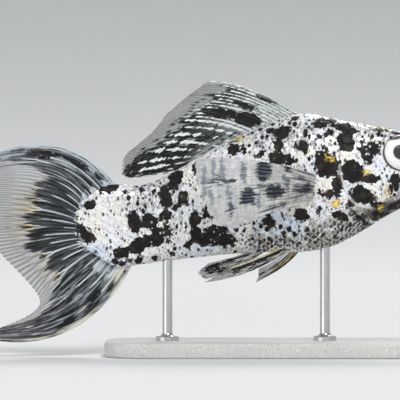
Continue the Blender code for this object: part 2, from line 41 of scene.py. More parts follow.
# Body sections from the tail's end to the snout:
# station x, back z, belly z, half width, share of the height where it is widest, upper and lower fullness
SECTIONS = (
    (-39.6, 32.6, 19.0, 0.55, 0.50, 2.2, 2.2),
    (-35.0, 33.6, 18.1, 1.15, 0.50, 2.2, 2.2),
    (-30.4, 34.2, 17.7, 1.90, 0.50, 2.2, 2.2),
    (-25.6, 34.0, 18.4, 2.70, 0.51, 2.1, 2.2),
    (-20.0, 36.2, 19.1, 3.70, 0.52, 2.0, 2.1),
    (-14.0, 39.7, 19.8, 4.70, 0.53, 1.9, 2.1),
    (-7.0, 43.4, 20.4, 5.60, 0.54, 1.9, 2.1),
    (0.0, 46.5, 20.7, 6.20, 0.54, 1.9, 2.1),
    (6.6, 48.3, 20.8, 6.50, 0.55, 2.0, 2.1),
    (12.4, 47.4, 21.9, 6.60, 0.55, 2.2, 2.0),
    (18.0, 46.4, 24.7, 6.40, 0.56, 2.6, 1.9),
    (23.0, 45.5, 27.7, 5.90, 0.60, 3.2, 1.9),
    (27.0, 44.6, 30.0, 5.20, 0.62, 3.4, 1.9),
    (30.0, 43.4, 32.4, 4.50, 0.62, 3.0, 2.0),
    (32.2, 42.0, 34.6, 3.80, 0.58, 2.6, 2.1),
    (33.6, 40.7, 36.1, 3.05, 0.54, 2.4, 2.2),
    (34.5, 39.5, 37.2, 2.25, 0.50, 2.2, 2.2),
    (34.9, 38.8, 37.9, 1.30, 0.50, 2.0, 2.0),
    (35.0, 38.4, 38.3, 0.25, 0.50, 2.0, 2.0),
)
SWAY_FROM = 4.0
SWAY_AT_TAIL = 3.2
SWAY_LENGTH = 42.0

# Where the scaled flesh of the tail ends
TAIL_TOP = (-31.2, 34.6)
TAIL_FOOT = (-28.2, 17.3)
TAIL_BULGE = 8.3

# Head
EYE_PLACE = (25.9, 40.5)
EYE_RADIUS = 3.6
EYE_DEPTH = 1.9
EYE_SINK = 1.05
EYE_TILT = math.radians(9)
EYE_TURN = math.radians(12)
ORBIT_RADIUS = 3.62
PUPIL_RADIUS = 1.45
PUPIL_SHIFT = (-0.55, -0.2)
PUPIL_RELIEF = 0.22
EYE_FULLNESS = 3.4
DOME_RELIEF = 0.42
DOME_GAP = 0.07
DOME_BACK_RELIEF = -0.2
MOUTH_LINE = ((35.6, 38.5), (34.6, 38.4), (33.4, 38.0), (32.5, 37.2), (32.0, 36.2))
JAW_LINE = ((32.0, 36.2), (31.4, 34.4), (30.6, 32.6))
GILL_LINE = (
    (14.8, 43.6), (13.8, 40.6), (13.6, 37.0), (14.3, 34.0), (15.5, 31.4), (17.4, 29.8), (19.8, 29.2),
    (22.6, 28.9), (26.0, 29.2),
)
MEMBRANE_LINE = ((15.0, 30.6), (16.4, 28.9), (18.2, 27.3), (20.4, 26.3), (23.4, 26.6), (26.4, 28.4))
CHEEK_LINE = ((23.4, 35.4), (22.0, 33.0), (22.0, 30.6), (23.6, 29.0), (26.4, 29.4))
NOSTRILS = ((30.9, 41.4, 0.42), (29.8, 42.2, 0.3))

# How far the forms of the head stand up or go in
LIP_HEIGHT = 0.42
MOUTH_DEPTH = 0.85
JAW_CREASE_DEPTH = 0.3
GILL_COVER_HEIGHT = 0.34
GILL_CLEFT_DEPTH = 0.4
FOLD_HEIGHT = 0.2
FOLD_DEPTH = 0.3
CHEEK_HEIGHT = 0.12
CHEEK_GROOVE_DEPTH = 0.16
ORBIT_RIM_HEIGHT = 0.2
SOCKET_DEPTH = 1.5
NOSTRIL_RIM_HEIGHT = 0.1
NOSTRIL_DEPTH = 0.4

# Marks of the side towards -Y, as middle x and z, half length and half height, and tilt in degrees if any:
# black blotches, with a painted shadow along the gill membrane's fold among them, gold flecks, patches with a
# blue sheen, the dark of the throat and belly, and where specks are many or few
BLOTCHES_AND_FOLD_SHADOW = (
    (-36.0, 30.1, 1.3, 1.0), (-36.6, 24.1, 1.2, 2.3, 42), (-33.4, 33.4, 0.8, 0.7), (-31.6, 33.6, 1.4, 1.0),
    (-27.1, 26.6, 1.35, 2.4, 25), (-24.1, 26.9, 1.45, 1.6), (-20.9, 28.1, 1.25, 1.5),
    (-20.9, 24.8, 1.3, 1.4, -20), (-30.0, 20.5, 1.0, 1.3), (-28.8, 20.9, 1.1, 1.2), (-27.3, 21.3, 1.3, 1.2),
    (-26.2, 22.2, 1.5, 1.6), (-24.1, 22.9, 1.7, 1.5), (-22.6, 23.9, 1.3, 1.9, 15), (-31.0, 18.7, 0.7, 0.7),
    (-29.4, 18.4, 0.7, 0.6), (-27.6, 18.8, 0.7, 0.6), (-26.2, 19.2, 0.9, 0.8), (-22.6, 19.6, 0.9, 0.6),
    (-19.6, 20.4, 0.7, 0.6), (-20.8, 31.1, 1.4, 1.7), (-17.2, 31.5, 1.3, 1.4), (-18.8, 35.2, 1.5, 2.2, -25),
    (-21.0, 33.4, 0.7, 0.9), (-14.8, 37.3, 0.8, 1.5, -10), (-15.2, 27.1, 1.2, 1.9), (-14.8, 24.6, 1.2, 1.8),
    (-12.2, 28.7, 1.2, 1.6), (-20.3, 22.6, 0.6, 0.7), (-11.0, 24.1, 2.7, 2.0), (-8.6, 23.1, 2.0, 1.4, 10),
    (-13.2, 22.7, 1.3, 1.2), (-16.2, 22.1, 0.8, 0.8), (-7.4, 41.4, 1.1, 1.5, -10), (-5.2, 41.0, 0.5, 0.8),
    (-2.2, 39.9, 1.0, 0.8), (2.4, 44.4, 1.7, 1.4, 20), (-0.2, 45.0, 0.8, 0.8), (1.4, 42.1, 1.0, 1.4),
    (1.0, 39.5, 1.6, 1.6), (3.4, 38.9, 1.5, 0.9, -10), (6.4, 41.7, 1.0, 1.4, 20), (5.2, 47.4, 1.0, 0.7),
    (10.0, 46.4, 1.5, 1.0, 10), (12.2, 47.0, 1.3, 0.7, -8), (14.8, 45.5, 2.4, 1.1, -8),
    (15.0, 42.9, 1.7, 2.3), (11.8, 44.4, 0.6, 0.6), (11.0, 38.1, 2.4, 2.5, -15), (10.2, 40.2, 1.2, 0.9),
    (12.4, 40.3, 0.5, 0.6), (13.3, 34.3, 1.0, 2.9, -6), (9.8, 32.2, 0.65, 0.8), (11.6, 32.3, 0.8, 1.0),
    (9.6, 28.9, 0.6, 0.7), (13.6, 27.9, 1.9, 1.0, -28), (6.0, 28.1, 1.6, 1.3), (-0.4, 26.7, 1.1, 1.6, 30),
    (19.8, 41.4, 2.3, 1.1, 8), (18.0, 42.6, 0.6, 0.6), (19.2, 39.3, 1.5, 0.75), (16.3, 36.6, 2.3, 2.3),
    (19.9, 35.4, 1.6, 1.1), (18.2, 32.1, 2.9, 1.7, -12), (-0.2, 36.5, 2.6, 2.1, 8), (0.8, 32.9, 2.2, 1.1),
    # (18.2, 27.2, 2.4, 0.5, -38) below is no blotch but painted shadow along the fold of the gill membrane
    (-4.4, 31.7, 1.4, 1.4), (5.4, 33.4, 2.3, 1.9, 20), (25.4, 29.9, 2.6, 1.0, 8), (18.2, 27.2, 2.4, 0.5, -38),
    (21.8, 28.3, 3.6, 0.3), (24.8, 35.0, 1.3, 1.4), (23.6, 33.1, 0.7, 0.6), (29.6, 36.0, 0.9, 0.7, 20),
    (27.6, 32.8, 1.1, 0.8), (31.6, 40.3, 0.7, 0.5), (30.2, 38.6, 0.5, 0.5), (22.2, 45.0, 1.2, 0.45, -15),
    (24.6, 44.6, 1.0, 0.15, -8), (21.6, 29.9, 1.3, 1.0), (16.2, 30.2, 0.5, 1.1, 35), (19.0, 27.9, 0.8, 0.6),
    (20.8, 28.5, 0.7, 0.4), (22.6, 27.9, 0.8, 0.4, 20), (21.0, 27.2, 0.6, 0.4), (25.2, 28.9, 0.9, 0.4, 20),
)
YELLOWS = (
    (11.6, 39.3, 0.8, 0.6, -20), (12.9, 30.3, 0.9, 0.8), (19.4, 36.8, 0.8, 0.5), (23.1, 33.1, 0.5, 0.6),
    (-6.4, 43.6, 0.6, 0.5), (22.6, 45.7, 0.9, 0.3, -12), (21.9, 29.6, 0.5, 0.4),
)
BLUES = (
    (-36.5, 21.0, 3.5, 3.5, 30), (-31.5, 19.0, 3.0, 1.6), (2.0, 26.5, 6.0, 2.6), (-12.0, 21.6, 6.0, 1.2),
    (-37.5, 31.0, 2.0, 2.5),
)
THROATS = (
    (13.5, 24.5, 9.5, 3.4, 27), (2.0, 22.2, 10.0, 1.6), (23.0, 28.6, 6.0, 2.4, 22),
)
SPECKLED = (
    (-24.0, 32.0, 8.0, 3.6, 10), (4.0, 44.0, 14.0, 3.0), (24.0, 43.0, 8.0, 2.4, -12), (8.0, 24.5, 14.0, 3.0),
    (26.5, 33.5, 4.0, 3.0), (-18.6, 29.0, 1.6, 6.0),
)
CLEAN = (
    (-32.4, 27.2, 4.0, 5.6), (-24.0, 20.6, 3.0, 0.8),
)


def spline(keys, places):
    """Points of a smooth curve through the keys; place 0 is the first key, 1 the second."""
    keys = np.asarray(keys, float)
    places = np.clip(np.asarray(places, float), 0, len(keys) - 1)
    first = np.minimum(places.astype(int), len(keys) - 2)
    t = (places - first)[..., None]
    padded = np.concatenate([2 * keys[:1] - keys[1:2], keys, 2 * keys[-1:] - keys[-2:-1]])
    a, b, c, d = (padded[first + k] for k in range(4))
    return 0.5 * (2 * b + (c - a) * t + (2 * a - 5 * b + 4 * c - d) * t**2 + (3 * b - a - 3 * c + d) * t**3)


def smooth_line(keys, steps=6):
    return spline(keys, np.linspace(0, len(keys) - 1, (len(keys) - 1) * steps + 1))


def ramp(value, low, high):
    """0 at low, 1 at high, smooth between."""
    t = np.clip((value - low) / (high - low), 0, 1)
    return t * t * (3 - 2 * t)


def bell(offset, width):
    """1 where the offset is 0, falling away on both sides."""
    return np.exp(-((offset / width) ** 2))


def sway(x):
    """Sideways place of the fish's middle plane, which swings over towards the tail."""
    return -SWAY_AT_TAIL * (np.maximum(SWAY_FROM - x, 0) / SWAY_LENGTH) ** 2


STATIONS = spline(SECTIONS, np.linspace(0, len(SECTIONS) - 1, 1500))


def section_at(x):
    return np.stack([np.interp(x, STATIONS[:, 0], STATIONS[:, k]) for k in range(7)], axis=-1)


def body_point(x, share):
    """Point of the body's skin at a station, share of the way round from the back by +Y."""
    x, back, belly, half, level, upper, lower = np.moveaxis(section_at(np.asarray(x, float)), -1, 0)
    widest = belly + level * (back - belly)
    up = np.cos(2 * np.pi * share)
    out = np.sin(2 * np.pi * share)
    fullness = np.where(up >= 0, upper, lower)
    reach = np.where(up >= 0, back - widest, widest - belly)
    y = half * np.sign(out) * np.abs(out) ** (2 / fullness)
    z = widest + reach * np.sign(up) * np.abs(up) ** (2 / fullness)
    return np.stack([x + 0 * y, y + sway(x), z], axis=-1)


def body_normal(x, share):
    """Outward direction of the skin there."""
    along = body_point(x + 0.05, share) - body_point(x - 0.05, share)
    around = body_point(x, share + 0.002) - body_point(x, share - 0.002)
    normal = np.cross(around, along)
    normal /= np.linalg.norm(normal, axis=-1, keepdims=True) + 1e-12
    centre = section_at(x)
    middle = np.stack([x + 0 * share, sway(x) + 0 * share, (centre[..., 1] + centre[..., 2]) / 2], axis=-1)
    outward = np.sum(normal * (body_point(x, share) - middle), axis=-1, keepdims=True)
    return normal * np.where(outward < 0, -1, 1)


def half_width(x, z):
    """How far the body reaches to the side at that station and height."""
    _, back, belly, half, level, upper, lower = section_at(x)
    widest = belly + level * (back - belly)
    reach, fullness = (back - widest, upper) if z >= widest else (widest - belly, lower)
    return half * (1 - min(abs(z - widest) / reach, 1) ** fullness) ** (1 / fullness)


GILL_SMOOTH = smooth_line(GILL_LINE)
MEMBRANE_SMOOTH = smooth_line(MEMBRANE_LINE)


def line_distance(points, line):
    """Distance of side-view points from a line, negative on the right of its run, and place along it."""
    best = np.full(len(points), 1e9)
    sign = np.ones(len(points))
    place = np.zeros(len(points))
    for k, (a, b) in enumerate(zip(line, line[1:])):
        step = b - a
        t = np.clip(((points - a) @ step) / (step @ step), 0, 1)
        offset = points - a - t[:, None] * step
        distance = np.linalg.norm(offset, axis=1)
        nearer = distance < best
        best[nearer] = distance[nearer]
        sign[nearer] = np.sign(step[0] * offset[nearer, 1] - step[1] * offset[nearer, 0])
        place[nearer] = (k + t[nearer]) / (len(line) - 1)
    return best * sign, place


def spots_depth(x, z, spots):
    """How deep each side-view point lies inside the nearest spot, in millimetres, negative outside."""
    depth = np.full(np.shape(x), -9.0)
    for cx, cz, length, height, *tilt in spots:
        turn = math.radians(sum(tilt))
        a = (x - cx) * math.cos(turn) + (z - cz) * math.sin(turn)
        b = (z - cz) * math.cos(turn) - (x - cx) * math.sin(turn)
        distance = np.sqrt((a / length) ** 2 + (b / height) ** 2)
        depth = np.maximum(depth, (1 - distance) * min(length, height))
    return depth


def side_marks(points, spots):
    """Depth inside spots for points of both sides; the side towards +Y has the same marks, moved about."""
    x, y, z = points.T
    near = spots_depth(x, z, spots)
    far = spots_depth(x + 1.9 * np.sin(0.31 * z + 0.4 * x + 0.9), z + 1.5 * np.sin(0.42 * x + 1.1), spots)
    share = ramp(y - sway(x), -0.7, 0.7)
    return near * (1 - share) + far * share


# Making meshes


def select_only(obj):
    bpy.ops.object.select_all(action="DESELECT")
    bpy.context.view_layer.objects.active = obj
    obj.select_set(True)


def new_object(add, name, **settings):
    """What an adding operator makes, with its name, and with nothing else selected."""
    bpy.ops.object.select_all(action="DESELECT")
    add(**settings)
    obj = bpy.context.object
    obj.name = name
    obj.data.name = name
    return obj


def keep_place(obj):
    """Applies the object's place, turn and scale to its mesh."""
    select_only(obj)
    bpy.ops.object.transform_apply(location=True, rotation=True, scale=True)


def move_vertices(obj, points):
    """Puts the vertices at the points, given in millimetres."""
    obj.data.vertices.foreach_set("co", (points * MM).reshape(-1).astype(np.float32))


def keep_attributes(obj, named):
    """Stores the named values at the vertices."""
    for name, values in named.items():
        made = obj.data.attributes.new(name, "FLOAT", "POINT")
        made.data.foreach_set("value", np.ravel(values).astype(np.float32))


def keep_uv(mesh, layer, places):
    """Stores each vertex's place on the map."""
    corner = np.zeros(len(mesh.loops), np.int32)
    mesh.loops.foreach_get("vertex_index", corner)
    layer.data.foreach_set("uv", places[corner].reshape(-1).astype(np.float32))


def grid_piece(name, points):
    """A grid primitive whose rows and columns are moved to the points, given in millimetres."""
    rows, columns = points.shape[:2]
    obj = new_object(bpy.ops.mesh.primitive_grid_add, name, x_subdivisions=columns - 1,
                     y_subdivisions=rows - 1, size=1)
    move_vertices(obj, points)
    obj.data.update()
    return obj


def close_mesh(obj, weld=False, ends=False):
    """Points all faces outwards, after merging what meets and filling the open ends when asked."""
    select_only(obj)
    bpy.ops.object.mode_set(mode="EDIT")
    bpy.ops.mesh.select_all(action="SELECT")
    if weld:
        bpy.ops.mesh.remove_doubles(threshold=1e-6)
    if ends:
        bpy.ops.mesh.select_all(action="DESELECT")
        bpy.ops.mesh.select_mode(type="EDGE")
        bpy.ops.mesh.select_non_manifold(extend=False, use_wire=False, use_multi_face=False,
                                         use_non_contiguous=False, use_verts=False)
        bpy.ops.mesh.fill()
        bpy.ops.mesh.select_all(action="SELECT")
    bpy.ops.mesh.normals_make_consistent(inside=False)
    bpy.ops.object.mode_set(mode="OBJECT")


def dress(obj, material, slot, *nodes):
    """Gives a finished piece its finish and its body, and hides the nodes that it stands for."""
    obj.data.materials.clear()
    obj.data.materials.append(material)
    select_only(obj)
    bpy.ops.object.shade_smooth()
    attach(obj, "root")
    if nodes:
        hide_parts(*nodes)
    return obj


# Node trees


class Graph:
    """Short forms for building a node tree; a socket given as a value is linked, anything else is set."""

    def __init__(self, tree):
        self.tree = tree

    def fill(self, sockets, values):
        for key, value in values.items():
            if isinstance(value, bpy.types.NodeSocket):
                self.tree.links.new(value, sockets[key])
            else:
                sockets[key].default_value = (*value, 1) if sockets[key].type == "RGBA" else value

    def node(self, kind, inputs=None, **settings):
        made = self.tree.nodes.new(kind)
        for key, value in settings.items():
            setattr(made, key, value)
        self.fill(made.inputs, inputs or {})
        return made

    def math(self, operation, *values, clamp=False):
        inputs = dict(enumerate(values))
        return self.node("ShaderNodeMath", inputs, operation=operation, use_clamp=clamp).outputs[0]

    def times(self, value, factor):
        return self.math("MULTIPLY", value, factor)

    def scaled(self, value, factor, plus, clamp=False):
        return self.math("MULTIPLY_ADD", value, factor, plus, clamp=clamp)

    def centred(self, noise):
        """The noise, made to swing about 0."""
        return self.math("SUBTRACT", noise, 0.5)

    def vary(self, value, noise, amount):
        """The value, moved up and down by the noise."""
        return self.scaled(self.centred(noise), amount, value)

    def rest(self, share):
        return self.math("SUBTRACT", 1.0, share)

    def larger(self, value, *others, clamp=False):
        for other in others:
            value = self.math("MAXIMUM", value, other, clamp=clamp)
        return value

    def soft(self, value, low, high):
        """0 at low, 1 at high, smooth between."""
        inputs = {"Value": value, "From Min": low, "From Max": high}
        return self.node("ShaderNodeMapRange", inputs, interpolation_type="SMOOTHSTEP").outputs[0]

    def mix(self, factor, low, high):
        # In a colour mix, socket 0 is the factor, and 6 and 7 are the colours
        return self.node("ShaderNodeMix", {0: factor, 6: low, 7: high}, data_type="RGBA").outputs[2]

    def tint(self, colour, other, mask, amount):
        """The colour, moved towards the other by the amount where the mask is 1."""
        return self.mix(self.times(mask, amount), colour, other)

    def noise(self, vector, scale, detail=2.0, roughness=0.5):
        inputs = {"Vector": vector, "Scale": scale, "Detail": detail, "Roughness": roughness}
        return self.node("ShaderNodeTexNoise", inputs).outputs["Fac"]

    def cloud(self, vector, scale, low, high, detail=2.0, roughness=0.5):
        """Noise as soft-edged patches."""
        return self.soft(self.noise(vector, scale, detail, roughness), low, high)

    def attribute(self, name):
        return self.node("ShaderNodeAttribute", attribute_name=name).outputs["Fac"]

    def attributes(self, *names):
        return [self.attribute(name) for name in names]

    def ray_map(self):
        """Place on a fin's map, and the same place across the rays and along them."""
        place = self.node("ShaderNodeUVMap", uv_map="rays").outputs[0]
        return place, *self.node("ShaderNodeSeparateXYZ", {"Vector": place}).outputs[:2]

    def coordinates(self):
        return self.node("ShaderNodeTexCoord").outputs["Object"]

    def stretch(self, vector, scale):
        return self.node("ShaderNodeMapping", {"Vector": vector, "Scale": scale}).outputs[0]

    def bump(self, height, strength, distance):
        """A normal bent by the height; the distance is in millimetres."""
        inputs = {"Strength": strength, "Distance": distance * MM, "Height": height}
        return self.node("ShaderNodeBump", inputs).outputs[0]

    def use(self, group, **inputs):
        return self.node("ShaderNodeGroup", inputs, node_tree=group).outputs[0]


def new_group(name, inputs):
    """A node group that turns floats into a mask; returns it with its graph, inputs and mask socket."""
    group = bpy.data.node_groups.new(name, "ShaderNodeTree")
    for title, value in inputs.items():
        socket = group.interface.new_socket(title, in_out="INPUT", socket_type="NodeSocketFloat")
        socket.default_value = value
    group.interface.new_socket("Mask", in_out="OUTPUT", socket_type="NodeSocketFloat")
    start, end = group.nodes.new("NodeGroupInput"), group.nodes.new("NodeGroupOutput")
    return group, Graph(group), start.outputs, end.inputs["Mask"]


def ragged_group():
    """Turns a depth in millimetres into a mask with a ragged edge."""
    inputs = {"Depth": 0, "Coarse": 0.8, "Fine": 0.4, "Softness": 0.08}
    group, graph, given, mask = new_group("ragged_edge", inputs)
    place = graph.coordinates()
    depth = graph.vary(given["Depth"], graph.noise(place, 640, 2), given["Coarse"])
    depth = graph.vary(depth, graph.noise(place, 1700, 3, 0.65), given["Fine"])
    low = graph.times(given["Softness"], -1.0)
    group.links.new(graph.soft(depth, low, given["Softness"]), mask)
    return group


def specks_group():
    """Small dark specks of uneven size, set close or sparsely."""
    group, graph, given, mask = new_group("specks", {"Scale": 900, "Size": 0.3, "Density": 0.5})
    place = graph.stretch(graph.coordinates(), (1.25, 1.0, 0.85))
    warp = graph.noise(place, 1500, 2)
    cells = graph.node("ShaderNodeTexVoronoi", {"Vector": place, "Scale": given["Scale"]}).outputs
    parts = graph.node("ShaderNodeSeparateColor", {"Color": cells["Color"]}).outputs
    kept = graph.math("LESS_THAN", parts[0], given["Density"])
    size = graph.times(graph.scaled(parts[1], 0.65, 0.45), given["Size"])
    size = graph.times(size, graph.math("ADD", warp, 0.5))
    inside = graph.math("SUBTRACT", size, cells["Distance"])
    group.links.new(graph.times(graph.soft(inside, -0.05, 0.05), kept), mask)
    return group


def new_material(name):
    """A material with a bare Principled shader; returns it with its graph and the shader's inputs."""
    material = bpy.data.materials.new(name)
    material.use_nodes = True
    return material, Graph(material.node_tree), material.node_tree.nodes["Principled BSDF"].inputs


PEARL = (0.88, 0.90, 0.93)
WARM_PEARL = (0.91, 0.88, 0.83)
LILAC_SHEEN = (0.74, 0.76, 0.93)
CREAM = (0.93, 0.90, 0.74)
LILAC_GREY = (0.36, 0.37, 0.43)
OLIVE_GREY = (0.30, 0.29, 0.22)
INK = (0.011, 0.010, 0.011)
SEPIA = (0.045, 0.032, 0.022)
UMBER = (0.05, 0.034, 0.024)
# The next colour is painted shade at the scale rims
SCALE_RIM_SHADE = (0.085, 0.058, 0.036)
GOLD = (0.95, 0.69, 0.11)
BRONZE = (0.50, 0.30, 0.06)
SKY = (0.45, 0.62, 0.86)


def skin_material(ragged, specks):
    """Pearly white with ink-black blotches, specks and a little gold and blue.

    Shade is painted at the scale rims and along the fold of the gill membrane.
    """
    material, graph, surface = new_material("marbled_skin")
    place = graph.coordinates()
    rim, tone, throat, density = graph.attributes("rim", "tone", "throat", "speckled")
    ground = graph.mix(graph.cloud(place, 190, 0.35, 0.65, 3), PEARL, WARM_PEARL)
    ground = graph.tint(ground, LILAC_GREY, tone, 0.18)
    hue = graph.noise(place, 430)
    ground = graph.tint(ground, LILAC_SHEEN, graph.soft(hue, 0.52, 0.68), 0.5)
    ground = graph.tint(ground, CREAM, graph.soft(hue, 0.46, 0.32), 0.45)
    mottle = graph.noise(graph.stretch(place, (1.5, 1.0, 0.7)), 1000, 4, 0.75)
    mottle = graph.soft(graph.scaled(density, 0.11, mottle), 0.51, 0.70)
    ground = graph.tint(ground, graph.mix(graph.noise(place, 500, 1), LILAC_GREY, OLIVE_GREY), mottle, 0.80)
    ground = graph.tint(ground, OLIVE_GREY, throat, graph.cloud(place, 800, 0.46, 0.7, 3))
    blue = graph.times(graph.attribute("blue"), graph.cloud(place, 620, 0.40, 0.66, 3))
    ground = graph.tint(ground, SKY, blue, 0.55)
    # Brown along the scales' edges is painted shade where they overlap
    toward_edge = graph.scaled(graph.noise(place, 1500), 0.5, rim)
    ground = graph.tint(ground, SCALE_RIM_SHADE, graph.soft(toward_edge, 0.82, 1.08), 0.12)
    heart = graph.times(graph.soft(toward_edge, 0.98, 0.66), graph.cloud(place, 420, 0.36, 0.52))
    ground = graph.tint(ground, UMBER, heart, graph.times(throat, 0.95))
    # The blotch mask also holds the painted shadow along the gill membrane's fold
    blotch_and_shadow = graph.use(ragged, Depth=graph.attribute("blotch_and_shadow"), Coarse=2.1, Fine=1.3, Softness=0.09)
    large = graph.use(specks, Scale=660, Size=graph.scaled(density, 0.10, 0.33),
                      Density=graph.scaled(density, 0.56, 0.38))
    small = graph.use(specks, Scale=1080, Size=0.37, Density=graph.scaled(density, 0.42, 0.50))
    faint = graph.use(specks, Scale=1900, Size=0.42, Density=graph.scaled(density, 0.3, 0.55))
    dark = graph.larger(blotch_and_shadow, large, graph.times(small, 0.88), graph.times(faint, 0.5))
    flecks = graph.use(specks, Scale=1350, Size=0.34, Density=0.26)
    flecks = graph.times(flecks, graph.cloud(place, 330, 0.46, 0.56))
    dark = graph.times(dark, graph.scaled(graph.times(flecks, blotch_and_shadow), -0.62, 1.0))
    colour = graph.mix(dark, ground, graph.mix(graph.cloud(place, 700, 0.48, 0.72, 3), INK, SEPIA))
    gold = graph.use(ragged, Depth=graph.attribute("gold"), Coarse=1.6, Fine=2.2, Softness=0.3)
    foil = graph.mix(graph.cloud(place, 1250, 0.42, 0.56, 3, 0.7), BRONZE, GOLD)
    colour = graph.tint(colour, foil, gold, graph.scaled(tone, 0.1, 0.88))
    colour = graph.tint(colour, WARM_PEARL, graph.attribute("seam"), 0.85)
    # Ink in the groove of the gill membrane's fold is painted shadow
    colour = graph.tint(colour, INK, graph.attribute("fold_shadow"), 0.92)
    pale = graph.rest(dark)
    graph.fill(surface, {
        "Base Color": colour,
        "Roughness": graph.scaled(dark, 0.22, 0.28),
        "Metallic": graph.times(pale, 0.15),
        "Specular IOR Level": 0.16,
        "Coat Weight": graph.scaled(pale, 0.34, 0.01),
        "Coat Roughness": 0.14,
        "Normal": graph.bump(graph.noise(place, 2600, 3, 0.6), 0.3, 0.12),
    })
    return material


def head_relief(points):
    """How far the skin of the head stands proud of the plain body, in millimetres.

    Each form is a bell or a step across its line, and its width is in millimetres too.
    """
    x, y, z = points.T
    flat = points[:, [0, 2]]
    side = np.abs(y - sway(x))
    relief = np.zeros(len(points))
    mouth, _ = line_distance(flat, smooth_line(MOUTH_LINE))
    relief += ramp(x, 31.6, 33.2) * (LIP_HEIGHT * bell(np.abs(mouth) - 0.45, 0.42))
    relief -= ramp(x, 31.4, 32.4) * MOUTH_DEPTH * bell(mouth, 0.17)
    jaw, place = line_distance(flat, smooth_line(JAW_LINE))
    relief -= JAW_CREASE_DEPTH * (1 - place) * bell(jaw, 0.3)
    gill, place = line_distance(flat, GILL_SMOOTH)
    fade = ramp(place, 0.02, 0.16) * (1 - ramp(place, 0.86, 1.0)) * ramp(side, 0.4, 1.4)
    cover = GILL_COVER_HEIGHT * np.exp(-gill / 2.6) * ramp(gill, 0.0, 0.16)
    relief += fade * np.where(gill > 0, cover, -GILL_CLEFT_DEPTH * bell(gill, 0.42))
    fold, place = line_distance(flat, MEMBRANE_SMOOTH)
    fade = np.sin(np.pi * np.clip(place, 0, 1)) ** 0.5 * ramp(side, 0.3, 1.2)
    lip = FOLD_HEIGHT * np.exp(-fold / 1.2) * ramp(fold, 0.0, 0.12)
    relief += fade * np.where(fold > 0, lip, -FOLD_DEPTH * bell(fold, 0.3))
    cheek, place = line_distance(flat, smooth_line(CHEEK_LINE))
    fade = np.sin(np.pi * np.clip(place, 0, 1)) ** 0.7 * ramp(side, 1.0, 2.0)
    relief += fade * (CHEEK_HEIGHT * bell(cheek, 0.8) - CHEEK_GROOVE_DEPTH * bell(cheek + 0.55, 0.25))
    orbit = np.hypot(x - EYE_PLACE[0], z - EYE_PLACE[1])
    beside = side > 1.5
    relief += beside * ORBIT_RIM_HEIGHT * bell(orbit - ORBIT_RADIUS - 0.35, 0.38)
    relief -= beside * SOCKET_DEPTH * (1 - ramp(orbit, ORBIT_RADIUS - 0.2, ORBIT_RADIUS + 0.04))
    for nx, nz, radius in NOSTRILS:
        away = np.hypot(x - nx, z - nz)
        rim = NOSTRIL_RIM_HEIGHT * bell(away - radius, 0.16)
        relief += beside * (rim - NOSTRIL_DEPTH * bell(away / radius, 0.7))
    return relief


def tail_end_x(z):
    """Station where the scaled flesh ends at that height."""
    share = np.clip((TAIL_TOP[1] - z) / (TAIL_TOP[1] - TAIL_FOOT[1]), 0, 1)
    straight = TAIL_TOP[0] + (TAIL_FOOT[0] - TAIL_TOP[0]) * share
    return straight - TAIL_BULGE * (1 - (2 * share - 1) ** 2) ** 0.85


def add_marks(obj, points):
    """Stores the markings of the skin at each point."""
    few = ramp(side_marks(points, CLEAN), -1.2, 1.0)
    gill, along_gill = line_distance(points[:, [0, 2]], GILL_SMOOTH)
    fold, along_fold = line_distance(points[:, [0, 2]], MEMBRANE_SMOOTH)
    keep_attributes(obj, {
        "blotch_and_shadow": np.clip(side_marks(points, BLOTCHES_AND_FOLD_SHADOW), -2, 2),
        "gold": np.clip(side_marks(points, YELLOWS), -2, 2),
        "blue": ramp(side_marks(points, BLUES), -0.6, 1.2),
        "throat": ramp(side_marks(points, THROATS), -0.8, 1.0),
        "speckled": ramp(side_marks(points, SPECKLED), -1.0, 1.2) - 0.6 * few,
        "seam": bell(gill - 0.16, 0.17) * ramp(along_gill, 0.18, 0.3) * ramp(along_gill, 0.8, 0.66),
        # Where shadow is painted in the groove of the gill membrane's fold
        "fold_shadow": bell(fold + 0.12, 0.3) * ramp(along_fold, 0.0, 0.1) * ramp(along_fold, 0.8, 0.5),
    })


# Faces round the skin, and the stations where its rings change from fanned out to even, close, and closest
SKIN_ROUND = 240
REAR_STATION = -20
HEAD_STATION = 12
FACE_STATION = 30
FACE_LENGTH = 5


def body_skin(material):
    """One skin over head, jaw, gill covers, torso and tail stem."""
    share = np.linspace(0, 1, SKIN_ROUND + 1)
    end = np.full(share.shape, -36.0)
    # The last ring of the skin creeps up to the line where the flesh ends
    for _ in range(60):
        end += 0.4 * (tail_end_x(body_point(end, share)[:, 2]) - end)
    rear = end + (REAR_STATION - end) * np.linspace(0, 1, 62)[:-1, None]
    front = np.concatenate([
        np.arange(REAR_STATION, HEAD_STATION, 0.3),
        np.arange(HEAD_STATION, FACE_STATION, 0.16),
        FACE_STATION + FACE_LENGTH * np.sin(np.linspace(0, np.pi / 2, 64)),
    ])
    stations = np.concatenate([rear, np.repeat(front[:, None], len(share), axis=1)])
    shares = np.broadcast_to(share, stations.shape)
    points = body_point(stations, shares)
    flat = points.reshape(-1, 3)
    lift = head_relief(flat) * ramp(flat[:, 0], 11.5, 13.0)
    flat = flat + body_normal(stations, shares).reshape(-1, 3) * lift[:, None]
    obj = grid_piece("skin", flat.reshape(points.shape))
    obj.data.uv_layers[0].name = "OFBake"
    add_marks(obj, flat)
    keep_attributes(obj, {"tone": np.zeros(len(flat)), "rim": np.zeros(len(flat))})
    close_mesh(obj, weld=True, ends=True)
    return dress(obj, material, "skin", "head", "lower_jaw", "torso", "tail_stem", "gill_cover_left",
                 "gill_cover_right")


# Vertices along and across a scale's plate
SCALE_GRID = 7
# A scale's own patch on the map, and its length and half width in steps of the columns and rows
SCALE_PATCH = 0.003
SCALE_LENGTH = 2.15
SCALE_HALF_WIDTH = 0.56
